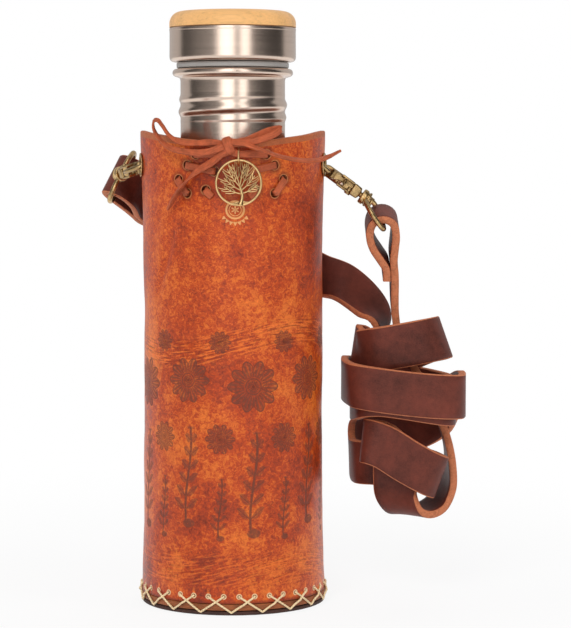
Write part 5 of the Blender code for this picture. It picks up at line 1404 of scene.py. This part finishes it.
# Places in the bundle from the right bar, in route units, then the width way where it isn't upright.
BUNDLE_SHARES = (
    # down to the bundle and into its core
    (-0.172, 0.255, -0.281, -0.40, -0.54, -0.74), (-0.092, 0.235, -0.338, -0.42, -0.64, -0.64),
    (-0.030, 0.215, -0.405, -0.42, -0.75, -0.45), (-0.003, 0.192, -0.465, -0.30, -0.95, -0.15),
    (-0.009, 0.180, -0.521, -0.12, -1.11, -0.14), (-0.031, 0.133, -0.568, -0.13, -0.99, 0.41),
    (-0.083, 0.123, -0.564, -0.02, -0.30, 0.96),
    # top wrap, once round
    (-0.110, 0.094, -0.559, 0.23, 0.28, 1.18), (-0.092, 0.036, -0.577, -0.48, 0.70, 1.07),
    (-0.030, -0.052, -0.562, -0.20, 0.00, 1.00), (0.090, -0.068, -0.542, -0.22, 0.00, 1.00),
    (0.205, -0.048, -0.522, -0.30, 0.00, 1.00), (0.266, 0.030, -0.517, -0.36, 0.00, 1.00),
    (0.268, 0.140, -0.526, -0.30, 0.00, 1.00), (0.225, 0.250, -0.548, -0.15, 0.00, 1.00),
    (0.130, 0.305, -0.596), (0.030, 0.312, -0.662), (-0.058, 0.288, -0.730),
    # inner main wrap
    (-0.112, 0.215, -0.780), (-0.122, 0.120, -0.792), (-0.114, 0.020, -0.785), (-0.082, -0.078, -0.762),
    (-0.010, -0.110, -0.755), (0.100, -0.113, -0.768), (0.220, -0.108, -0.788), (0.292, -0.070, -0.802),
    (0.316, 0.020, -0.802), (0.318, 0.140, -0.800), (0.308, 0.250, -0.795), (0.240, 0.345, -0.785),
    (0.120, 0.392, -0.765), (0.010, 0.398, -0.745), (-0.075, 0.375, -0.730),
    # outer main wrap
    (-0.145, 0.295, -0.716), (-0.160, 0.150, -0.708), (-0.154, 0.010, -0.710, -0.06, 0.00, 1.00),
    (-0.118, -0.105, -0.718, -0.08, 0.00, 1.00), (-0.030, -0.150, -0.730, -0.08, 0.00, 1.00),
    (0.110, -0.155, -0.748, -0.08, 0.00, 1.00), (0.260, -0.144, -0.762, -0.05, 0.00, 1.00),
    (0.336, -0.090, -0.768), (0.358, 0.020, -0.770), (0.360, 0.160, -0.772), (0.338, 0.300, -0.805),
    (0.270, 0.410, -0.915), (0.140, 0.468, -0.990), (0.020, 0.482, -1.005), (-0.060, 0.440, -1.010),
    # lower left wrap and the ply behind the lower front wrap
    (-0.112, 0.330, -1.010), (-0.122, 0.190, -1.075, -0.05, 0.00, 1.00),
    (-0.098, 0.090, -1.080, -0.05, 0.00, 1.00), (-0.030, 0.054, -1.080),
    (0.090, 0.052, -1.090, 0.10, 0.00, 1.00), (0.205, 0.040, -1.115, 0.25, 0.00, 1.00),
    # lower front wrap, back to the left
    (0.250, -0.030, -1.130, 0.35, 0.00, 1.00), (0.208, -0.088, -1.108, 0.40, 0.00, 1.00),
    (0.105, -0.101, -1.050, 0.40, 0.00, 1.00), (0.010, -0.101, -0.990, 0.40, 0.00, 1.00),
    (-0.048, -0.098, -0.968, 0.30, 0.00, 1.00), (-0.076, -0.070, -0.965, 0.10, 0.00, 1.00),
    (-0.046, -0.042, -0.970),
    # turn down, and the bottom bend
    (0.008, -0.035, -0.985, 0.55, 0.00, 0.83), (0.052, -0.034, -1.050, 0.97, -0.05, 0.20),
    (0.060, -0.024, -1.140, 0.98, -0.15, 0.00), (0.066, -0.008, -1.220, 0.90, -0.44, 0.00),
    (0.110, 0.015, -1.285, 0.80, -0.60, 0.00), (0.180, 0.060, -1.300, 0.60, -0.80, 0.00),
    (0.250, 0.105, -1.270, 0.40, -0.92, 0.00), (0.302, 0.130, -1.190, 0.20, -0.98, 0.00),
    (0.314, 0.135, -1.080, 0.05, -1.00, 0.00), (0.296, 0.130, -0.970, 0.00, -1.00, 0.00),
    # up through the core and out at the top
    (0.262, 0.125, -0.880, 0.00, -1.00, 0.00), (0.195, 0.120, -0.740, 0.00, -1.00, 0.00),
    (0.125, 0.112, -0.610, 0.00, -1.00, 0.00), (0.080, 0.115, -0.510, -0.02, -0.99, -0.05),
    (0.062, 0.108, -0.400, -0.02, -0.98, -0.15), (0.057, 0.086, -0.310, 0.00, -0.97, -0.24),
)

# Places of a fold round a bar: shares of its outer radius across the ply and along it.
FOLD_SHARES = (
    (0.98, 4.10), (0.95, 3.30), (0.86, 2.30), (0.94, 1.20), (1.00, 0.30), (0.80, -0.60), (0.30, -0.96),
    (-0.30, -0.96), (-0.80, -0.60), (-1.00, 0.30), (-0.74, 1.30), (-0.18, 2.20), (0.30, 3.00),
    (0.34, 3.90),
)


def fold_stations(bar, way, leaving, main_way, thickness):
    """Places of a fold round a bar, from the main ply to the ply that is laid back on it."""
    half = FOLD_INNER_RADIUS + thickness / 2
    middle = bar + leaving * FOLD_INNER_RADIUS * FOLD_SEAT_SHARE
    return [(*(middle + main_way * half * across + leaving * half * along), *way)
            for across, along in FOLD_SHARES]


def strap_rows(sizes, step):
    left_way, right_way = bar_way("left"), bar_way("right")
    leaving = Vector(LEFT_LEAVING_SHARES)
    leaving = (leaving - left_way * leaving.dot(left_way)).normalized()
    left = fold_stations(bar_centre("left"), left_way, leaving, leaving.cross(left_way),
                         sizes.strap_thickness)
    down = Vector((0.0, 0.0, -1.0))
    down = (down - right_way * down.dot(right_way)).normalized()
    right = fold_stations(bar_centre("right"), right_way, down, Vector((1.0, 0.0, 0.0)),
                          sizes.strap_thickness)
    back = [(CASE_RADIUS * x, CASE_RADIUS * y, RIM_HEIGHT * z, *way) for x, y, z, *way in BACK_SHARES]
    origin = bar_centre("right")
    bundle = [(*(origin + Vector((x, y, z)) * ROUTE_UNIT), *(way or UP)) for x, y, z, *way in BUNDLE_SHARES]
    return route(left[::-1] + back + bundle + right, step)


def build_strap(sizes, colours):
    """The shoulder strap: one strip from clip to clip, its length wound in a bundle."""
    rows = strap_rows(sizes, 0.0014)
    places, across, facing = strip_frames(rows)
    section = flat_section(sizes.strap_width, sizes.strap_thickness * 1.12, 0.00045, 0.0, 8)
    finishes = [strap_grain(colours), raw_leather("strap_cut_edge", colours.strap_edge, 600.0, 0.42, 0.75)]
    strap = swept("wound_strap", places, across, facing, section, finishes, False, None, cut_sides(8), 60.0)
    hand_over(strap, "strap", "strap")


# Lace and charm

# Places of the lace outside the sleeve: degrees from the front, height, lift in lace thicknesses, then
# the width way where it isn't upright.
LEFT_LOOP = (
    (-10.0, 0.2026, 1.5, 0.0, 0.2, 1.0), (-20.0, 0.2024, 1.4, 0.0, 0.6, 0.8),
    (-29.0, 0.2028, 1.6, 0.0, 0.8, 0.6), (-36.0, 0.2056, 1.9, 0.0, 0.9, 0.4),
    (-41.0, 0.2100, 2.1, 0.0, 0.9, 0.4), (-44.0, 0.2121, 2.3, 0.0, 0.9, 0.4),
    (-46.8, 0.2118, 2.4, 0.0, 0.9, 0.4), (-46.8, 0.2090, 2.5, 0.0, 0.9, 0.4),
    (-42.0, 0.2044, 2.7, 0.0, 0.9, 0.4), (-35.0, 0.2008, 2.9, 0.0, 0.8, 0.6),
    (-26.0, 0.1989, 3.1, 0.0, 0.6, 0.8), (-14.0, 0.1984, 3.0, 0.0, 0.2, 1.0),
)
RIGHT_LOOP = (
    (9.0, 0.2036, 1.5), (15.0, 0.2056, 1.3), (21.0, 0.2074, 1.3), (26.0, 0.2084, 1.6),
    (28.0, 0.2084, 2.3), (26.0, 0.2072, 3.0), (20.0, 0.2050, 3.4), (12.0, 0.2030, 3.1),
)
LEFT_TAIL = (
    (-10.0, 0.1945, 2.0, 0.5, 0.0, 0.9), (-20.0, 0.1900, 1.7, 0.6, 0.0, 0.8),
    (-30.0, 0.1830, 1.6, 0.7, 0.2, 0.6), (-40.0, 0.1740, 1.3, 0.8, 0.3, 0.5),
)
RIGHT_TAIL = (
    (7.0, 0.2022, 3.6, 0.0, 0.7, 0.7), (17.0, 0.1990, 4.4, 0.0, 0.9, 0.4),
    (31.0, 0.1958, 4.6, 0.0, 0.9, 0.4), (46.0, 0.1950, 5.4, 0.2, 0.9, 0.4),
    (55.2, 0.1966, 5.8, 0.3, 0.9, 0.4), (61.6, 0.1992, 7.4, 0.3, 0.9, 0.4),
)
STRAND_SPOTS = (0.3, 0.6)
HOLE_SHARE = 0.45


def lace_out(sizes, azimuth, height, lift=0.0):
    """Middle of the lace outside the sleeve."""
    stand = leather_form(sizes, azimuth, height) if height < RIM_HEIGHT else 0.0
    radius = sleeve_radius(sizes, height) + stand + FIT_GAP + sizes.lace_thickness / 2 + lift
    return round_case(azimuth, radius, height)


def ring_depth(sizes):
    return -(sleeve_radius(sizes, JUMP_RING_HEIGHT) + 2 * FIT_GAP + JUMP_RING_RADIUS + JUMP_WIRE_RADIUS)


def lace_strand(sizes, sign, start):
    """Rows of the lace from the knot through the six holes of one side, out and in by turns."""
    holes = [(math.radians(degrees) * sign, height) for degrees, height in LACE_HOLES]
    path = [holes[index] for index in LACE_ORDER]
    path.append((path[-1][0] * 0.72, path[-1][1] - 0.0028))
    reach = sizes.leather_thickness / 2 + FIT_GAP * 0.6 + sizes.lace_thickness / 2

    def spot(hole, share):
        middle = sleeve_radius(sizes, hole[1]) - sizes.leather_thickness / 2
        middle += leather_form(sizes, hole[0], hole[1])
        return round_case(hole[0], middle + reach * share, hole[1])

    hang = Vector((CHARM_OFFSET * sign, ring_depth(sizes), JUMP_RING_HEIGHT + STRAND_RISE))
    ways = []
    for before, after in zip([None] + path, path):
        first = spot(before, 1.0) if before else hang
        way = round_case(after[0], 1.0, 0.0).cross(spot(after, 1.0) - first).normalized()
        if ways and way.dot(ways[-1]) < 0.0:
            way = -way
        ways.append(way)
    outer = hang.lerp(spot(path[0], 1.0), 0.5) + round_case(path[0][0], sizes.lace_thickness, 0.0)
    rows = [(start, ways[0]), (hang, ways[0]), (outer, ways[0])]
    outside = 1.0
    for index, hole in enumerate(path):
        if index > 0:
            for share in STRAND_SPOTS:
                between = [one + (other - one) * share for one, other in zip(path[index - 1], hole)]
                rows.append((spot(between, outside * 1.15), ways[index]))
        rows.append((spot(hole, outside), ways[index]))
        if index < len(path) - 1:
            rows.append((spot(hole, HOLE_SHARE * outside), ways[index] * 2 + ways[index + 1]))
            rows.append((spot(hole, 0.0), ways[index] + ways[index + 1]))
            rows.append((spot(hole, -HOLE_SHARE * outside), ways[index] + ways[index + 1] * 2))
            rows.append((spot(hole, -outside), ways[index + 1]))
        outside = -outside
    return [(*place, *way) for place, way in rows]


def lace_strip(sizes, name, stations, finishes, narrow=1.0, tip=0):
    """A strip of the lace, cut on the slant at its free end."""
    rows = route(stations, 0.0007)
    places, across, facing = strip_frames(rows)
    shares = []
    for index in range(len(rows)):
        left = len(rows) - 1 - index
        ripple = 1.0 + 0.05 * noise.noise(Vector((index * 0.21, 3.0, len(name))))
        shares.append((narrow * ripple * (0.35 + 0.65 * min(1.0, left / tip) if tip else 1.0), 1.0))
    section = flat_section(sizes.lace_width, sizes.lace_thickness, 0.00035, 0.0, 4)
    return swept(name, places, across, facing, section, finishes, False, shares, cut_sides(4), 60.0)


def build_lace(sizes, colours):
    """The lace: knot, two loops, two tails and the strands through the mouth's holes."""
    finishes = [lace_grain(colours), raw_leather("lace_cut_edge", colours.lace_edge, 900.0, 0.35, 0.7)]
    half, depth = KNOT_WIDTH * 0.35, KNOT_DEPTH
    knot_radius = sleeve_radius(sizes, KNOT_HEIGHT) + 0.0036
    knot = Vector((-0.0008, -knot_radius, KNOT_HEIGHT))
    lift = sizes.lace_thickness + FIT_GAP * 2

    def leave(x, y, z, *way):
        return (*(knot + Vector((half * x, depth * y, half * z))), *way)

    def rows(table):
        return [(*lace_out(sizes, math.radians(degrees), height, lift * lifts), *(way or UP))
                for degrees, height, lifts, *way in table]

    pieces = [
        lace_strip(sizes, "loop_left", [leave(-1.0, 0.25, 0.3, *UP)] + rows(LEFT_LOOP)
                   + [leave(-1.0, -0.3, -0.2, *UP)], finishes, 0.92),
        lace_strip(sizes, "loop_right", [leave(1.0, 0.25, 0.6, *UP)] + rows(RIGHT_LOOP)
                   + [leave(1.0, -0.3, 0.4, *UP)], finishes, 0.92),
        lace_strip(sizes, "tail_left", [leave(-0.5, -0.15, -0.6, 0.3, 0.0, 1.0)] + rows(LEFT_TAIL),
                   finishes, 1.10, 9),
        lace_strip(sizes, "tail_right", [leave(0.6, -0.3, 0.8, 0.0, 0.4, 0.9)] + rows(RIGHT_TAIL),
                   finishes, 0.95, 9),
    ]
    for side, sign in SIDES:
        start = knot + Vector((0.0, depth * 0.07 * sign, -0.0075 * 0.27))
        pieces.append(lace_strip(sizes, "strand_" + side, lace_strand(sizes, sign, start), finishes))
    pieces += knot_wraps(sizes, knot, finishes)
    lace = joined("laced_bow", pieces)
    hand_over(lace, "case", "lace")


def knot_wraps(sizes, knot, finishes):
    """The knot: a slanting band pulled round the crossed strips, and the crossing under it."""
    pieces = []
    for name, slant, wide, tall, deep, width in (("band", 0.35, 0.0021, 0.0032, 0.0019, 0.0040),
                                                 ("cross", -0.75, 0.0022, 0.0027, 0.0015, 0.0036)):
        places, across, facing = [], [], []
        axis = Vector((math.cos(slant), 0.0, math.sin(slant)))
        other = Vector((-math.sin(slant), 0.0, math.cos(slant)))
        for turn in np.linspace(0.0, math.tau, 40, endpoint=False):
            place = knot + other * tall * math.sin(turn) - Vector((0.0, deep * math.cos(turn), 0.0))
            out = (other * math.sin(turn) / tall - Vector((0.0, math.cos(turn) / deep, 0.0))).normalized()
            places.append(tuple(place))
            across.append(tuple(axis))
            facing.append(tuple(out))
        section = flat_section(width, sizes.lace_thickness, 0.0004, 0.00025, 6)
        pieces.append(swept(name, places, across, facing, section, finishes, True, None, cut_sides(6)))
        work = bmesh.new()
        bmesh.ops.create_uvsphere(work, u_segments=24, v_segments=14, radius=1.0)
        for corner in work.verts:
            wave = 1.0 + 0.06 * noise.noise(corner.co * 2.3)
            corner.co = knot + (axis * corner.co.x * wide * 0.9 + other * corner.co.z * tall * 0.86
                                + Vector((0.0, corner.co.y * deep * 0.86, 0.0))) * wave
        mesh = mesh_from("core", work)
        mesh.uv_layers.new(name="Run")
        pieces.append(shaded(linked("core", mesh, finishes[:1])))
    return pieces


# Trunk: place in the ring and thickness, all as shares.
TRUNK = ((0.08, -0.97, 2.4), (0.13, -0.80, 1.5), (0.16, -0.58, 1.15), (0.12, -0.36, 1.05),
         (0.06, -0.16, 0.95))
# Branches: start on the trunk, angle from upright in degrees, length share, bend in degrees.
BRANCHES = (
    (0.15, -0.50, 82.0, 0.86, -30.0), (0.15, -0.48, -74.0, 0.80, 30.0),
    (0.13, -0.36, 64.0, 0.96, -22.0), (0.12, -0.34, -52.0, 0.90, 22.0),
    (0.09, -0.22, 42.0, 1.02, -14.0), (0.09, -0.22, -30.0, 1.00, 16.0),
    (0.06, -0.16, 16.0, 1.02, 8.0), (0.06, -0.16, -8.0, 1.02, -10.0),
)
ROOTS = (
    ((0.10, -0.82), (-0.05, -0.88), (-0.30, -0.94)),
    ((0.14, -0.80), (0.30, -0.87), (0.48, -0.87)),
    ((0.12, -0.78), (0.02, -0.86), (-0.10, -0.98)),
    ((0.14, -0.78), (0.22, -0.88), (0.28, -0.96)),
)


def twigs(place, angle, length, bend, level):
    """Rows of a branch in the ring's plane and of the twigs that leave it, (x, z) shares."""
    rows, x, z = [], *place
    count, found = 9, []
    for index in range(count + 1):
        rows.append((x, z))
        if math.hypot(x, z) > 0.97:
            break
        heading = angle + bend * index / count
        if level < 1 and index in (3, 5, 7):
            for fork in (-1, 1):
                found += twigs((x, z), heading + fork * 36.0, length * 0.54, -34.0 * fork, level + 1)
        turn = math.radians(heading)
        x += math.sin(-turn) * length / count
        z += math.cos(turn) * length / count
    found.append((level, rows))
    return [(rank, row) for rank, row in found if len(row) > 1]


def build_charm(sizes, colours):
    """The brass charm: a bare tree in a ring, hung from the lace by a jump ring."""
    finish = antique_brass(colours, "antique_brass_rubbed", 1.12, 0.07)
    radius, bar = sizes.charm_radius, 0.0005
    middle = Vector((CHARM_OFFSET, ring_depth(sizes), JUMP_RING_HEIGHT))
    turns = np.linspace(0.0, math.tau, 48, endpoint=False)
    ring = wire("charm_jump_ring", [middle + Vector((0.0, JUMP_RING_RADIUS * math.cos(turn),
                                                    JUMP_RING_RADIUS * math.sin(turn))) for turn in turns],
                JUMP_WIRE_RADIUS, [finish], 12, True)
    drop = JUMP_RING_RADIUS - JUMP_WIRE_RADIUS - FIT_GAP - bar
    centre = middle - Vector((0.0, 0.0, drop + radius))

    def at(x, z, y=0.0):
        return centre + Vector((radius * x, y, radius * z))

    turns = np.linspace(0.0, math.tau, 96, endpoint=False)
    pieces = [wire("rim", [at(math.cos(turn), math.sin(turn)) for turn in turns], bar, [finish], 14, True)]
    trunk = route([(*at(x, z), share) for x, z, share in TRUNK], 0.0004)
    pieces.append(wire("trunk", trunk[:, :3], bar * 1.15, [finish], 12, False, list(trunk[:, 3])))
    for root in ROOTS:
        rows = route([tuple(at(x, z)) for x, z in root], 0.0004)
        pieces.append(wire("root", rows, bar * 0.62, [finish], 8))
    for number, (x, z, angle, length, bend) in enumerate(BRANCHES):
        for level, rows in twigs((x, z), angle, length, bend, 0):
            points = [tuple(at(px, pz, 0.00012 * (number % 3 - 1))) for px, pz in rows]
            thick = bar * (0.60, 0.42)[level]
            shares = list(np.linspace(1.0, 0.7, len(points)))
            pieces.append(wire("twig", points, thick, [finish], 8 if level == 0 else 6, False, shares))
    charm = joined("tree_charm", pieces)
    for item, node in ((ring, "charm_ring"), (charm, "charm")):
        hand_over(item, "charm", node)


# Stage

def joined_rays(tree, *names):
    """Share of the light path's rays that are of any of the named kinds."""
    total = made(tree, "ShaderNodeLightPath", names[0], {})
    for name in names[1:]:
        total = total.larger(made(tree, "ShaderNodeLightPath", name, {}))
    return total


def floor_finish():
    """Matt pale floor that keeps the shadow near the object and fades to plain white further out."""
    finish = Finish("pale_floor", 0.9)
    across, back, _ = finish.place().split()
    reach = across.far(back)
    tree = finish.tree
    tree.nodes.remove(finish.shader)
    matt = made(tree, "ShaderNodeBsdfDiffuse", 0, {"Color": (0.93, 0.93, 0.93, 1.0)})
    white = made(tree, "ShaderNodeEmission", 0, {})
    seen = joined_rays(tree, "Is Camera Ray") * (reach.between(0.08, 0.45) * 0.14 + 0.86)
    seen = seen.larger(joined_rays(tree, "Is Glossy Ray", "Is Transmission Ray"))
    mix = made(tree, "ShaderNodeMixShader", 0, {0: seen, 1: matt, 2: white})
    fill(tree, tree.nodes["Material Output"], {"Surface": mix})
    return finish.material


def build_studio(scene):
    """White surroundings; polished metal sees two tall soft boxes in a dark front."""
    world = bpy.data.worlds.new("studio")
    world.use_nodes = True
    tree = world.node_tree
    tree.nodes.clear()
    side, ahead, _ = made(tree, "ShaderNodeTexCoord", "Generated", {}).split()
    turn = side.turn_from(ahead * -1.0) * (180.0 / math.pi)
    boxes = (turn.between(-33.0, -17.0) * turn.between(7.0, 1.0)).larger(
        turn.between(13.0, 17.0) * turn.between(35.0, 31.0) * 0.9)
    sides = abs(turn).between(104.0, 110.0) * 0.5
    polished = boxes * 2.0 + sides + abs(turn + 12.0).between(95.0, 25.0) * 0.22 + 0.06
    light, white, shine = (made(tree, "ShaderNodeBackground", 0,
                                {"Color": (1.0, 1.0, 1.0, 1.0), "Strength": strength})
                           for strength in (FILL_LIGHT, 1.0, polished))
    for share, shader in ((joined_rays(tree, "Is Camera Ray", "Is Transmission Ray"), white),
                          (joined_rays(tree, "Is Glossy Ray"), shine)):
        light = made(tree, "ShaderNodeMixShader", 0, {0: share, 1: light, 2: shader})
    fill(tree, tree.nodes.new("ShaderNodeOutputWorld"), {"Surface": light})
    scene.world = world


def build_stage():
    """Pale floor, white world, soft lamps and the camera at the photograph's angle."""
    scene = bpy.context.scene
    scene.view_settings.view_transform = "Standard"
    half = STAGE_SIZE / 2
    corners = [(-half, -half, 0.0), (half, -half, 0.0), (half, half, 0.0), (-half, half, 0.0)]
    floor = linked("floor", mesh_of("floor", corners, [(0, 1, 2, 3)]), [floor_finish()])
    floor.location.z = -0.0002
    build_studio(scene)
    for name, place, size, power in (("key_lamp", (-0.35, -1.4, 1.25), (0.8, 0.8), 14.0),
                                     ("side_lamp", (1.3, -0.7, 0.7), (0.5, 1.2), 5.0),
                                     ("left_lamp", (-1.4, 0.1, 0.4), (0.5, 1.4), 3.5),
                                     ("back_lamp", (0.3, 1.2, 1.2), (1.2, 0.6), 5.0)):
        lamp = bpy.data.lights.new(name, "AREA")
        lamp.shape = "RECTANGLE"
        lamp.size, lamp.size_y = size
        lamp.energy = power
        item = bpy.data.objects.new(name, lamp)
        item.location = place
        aim = Vector((0.0, 0.0, 0.13)) - Vector(place)
        item.rotation_euler = aim.to_track_quat("-Z", "Y").to_euler()
        item.visible_glossy = False
        scene.collection.objects.link(item)
    view = bpy.data.cameras.new("camera")
    view.lens = 131.9
    view.sensor_width = 36.0
    camera = bpy.data.objects.new("camera", view)
    aside = 0.0232
    camera.location = (aside, -1.017, 0.1984)
    target = Vector((aside, 0.0, 0.1270))
    camera.rotation_euler = (target - camera.location).to_track_quat("-Z", "Y").to_euler()
    scene.collection.objects.link(camera)
    scene.camera = camera


# Operators

def settings(context):
    return context.scene.bottle_case_sizes, context.scene.bottle_case_colours


def run(build, context):
    """Build pieces with the sizes and colours of the panel."""
    build(*settings(context))
    return {"FINISHED"}


class BOTTLE_CASE_OT_sleeve(bpy.types.Operator):
    """Build the marbled leather sleeve with its holes and burnt drawings"""
    bl_idname = "bottle_case.sleeve"
    bl_label = "Leather sleeve"

    def execute(self, context):
        return run(build_sleeve, context)


class BOTTLE_CASE_OT_base(bpy.types.Operator):
    """Build the tan base layer and the dark sole"""
    bl_idname = "bottle_case.base"
    bl_label = "Base layers"

    def execute(self, context):
        return run(build_base, context)


class BOTTLE_CASE_OT_stitches(bpy.types.Operator):
    """Build the crossed stitches round the foot and up the back seam"""
    bl_idname = "bottle_case.stitches"
    bl_label = "Stitches"

    def execute(self, context):
        return run(build_stitches, context)


class BOTTLE_CASE_OT_eyelets(bpy.types.Operator):
    """Build the four eyelets in the mouth"""
    bl_idname = "bottle_case.eyelets"
    bl_label = "Eyelets"

    def execute(self, context):
        return run(build_eyelets, context)


class BOTTLE_CASE_OT_bottle(bpy.types.Operator):
    """Build the brushed steel bottle"""
    bl_idname = "bottle_case.bottle"
    bl_label = "Bottle"

    def execute(self, context):
        return run(build_bottle, context)


class BOTTLE_CASE_OT_cap(bpy.types.Operator):
    """Build the cap, its plug and its seal"""
    bl_idname = "bottle_case.cap"
    bl_label = "Cap"

    def execute(self, context):
        return run(build_cap, context)


class BOTTLE_CASE_OT_hooks(bpy.types.Operator):
    """Build the two snap hooks with their gates"""
    bl_idname = "bottle_case.hooks"
    bl_label = "Snap hooks"

    def execute(self, context):
        return run(build_hooks, context)


class BOTTLE_CASE_OT_eyes(bpy.types.Operator):
    """Build the two strap eyes"""
    bl_idname = "bottle_case.eyes"
    bl_label = "Strap eyes"

    def execute(self, context):
        return run(build_eyes, context)


class BOTTLE_CASE_OT_strap(bpy.types.Operator):
    """Build the wound shoulder strap"""
    bl_idname = "bottle_case.strap"
    bl_label = "Shoulder strap"

    def execute(self, context):
        return run(build_strap, context)


class BOTTLE_CASE_OT_lace(bpy.types.Operator):
    """Build the lace with its bow"""
    bl_idname = "bottle_case.lace"
    bl_label = "Lace"

    def execute(self, context):
        return run(build_lace, context)


class BOTTLE_CASE_OT_charm(bpy.types.Operator):
    """Build the tree charm and its jump ring"""
    bl_idname = "bottle_case.charm"
    bl_label = "Charm"

    def execute(self, context):
        return run(build_charm, context)


class BOTTLE_CASE_OT_stage(bpy.types.Operator):
    """Build the floor, the lamps and the camera"""
    bl_idname = "bottle_case.stage"
    bl_label = "Stage"

    def execute(self, context):
        build_stage()
        return {"FINISHED"}


OPERATORS = (BOTTLE_CASE_OT_sleeve, BOTTLE_CASE_OT_base, BOTTLE_CASE_OT_stitches, BOTTLE_CASE_OT_eyelets,
             BOTTLE_CASE_OT_bottle, BOTTLE_CASE_OT_cap, BOTTLE_CASE_OT_hooks, BOTTLE_CASE_OT_eyes,
             BOTTLE_CASE_OT_strap, BOTTLE_CASE_OT_lace, BOTTLE_CASE_OT_charm, BOTTLE_CASE_OT_stage)


class BOTTLE_CASE_PT_panel(bpy.types.Panel):
    """Lists the pieces that can be built"""
    bl_idname = "BOTTLE_CASE_PT_panel"
    bl_label = "Bottle case"
    bl_space_type = "VIEW_3D"
    bl_region_type = "UI"
    bl_category = "Bottle case"

    def draw(self, context):
        for operator in OPERATORS:
            self.layout.operator(operator.bl_idname)
        for group in settings(context):
            for name in group.bl_rna.properties.keys():
                if name not in ("rna_type", "name"):
                    self.layout.prop(group, name)


CLASSES = (BottleCaseSizes, BottleCaseColours, *OPERATORS, BOTTLE_CASE_PT_panel)


def register():
    for kind in CLASSES:
        bpy.utils.register_class(kind)
    bpy.types.Scene.bottle_case_sizes = PointerProperty(type=BottleCaseSizes)
    bpy.types.Scene.bottle_case_colours = PointerProperty(type=BottleCaseColours)


def unregister():
    del bpy.types.Scene.bottle_case_colours
    del bpy.types.Scene.bottle_case_sizes
    for kind in reversed(CLASSES):
        bpy.utils.unregister_class(kind)


def main():
    register()
    for operator in OPERATORS:
        group, name = operator.bl_idname.split(".")
        getattr(getattr(bpy.ops, group), name)()


if __name__ == "__main__":
    main()
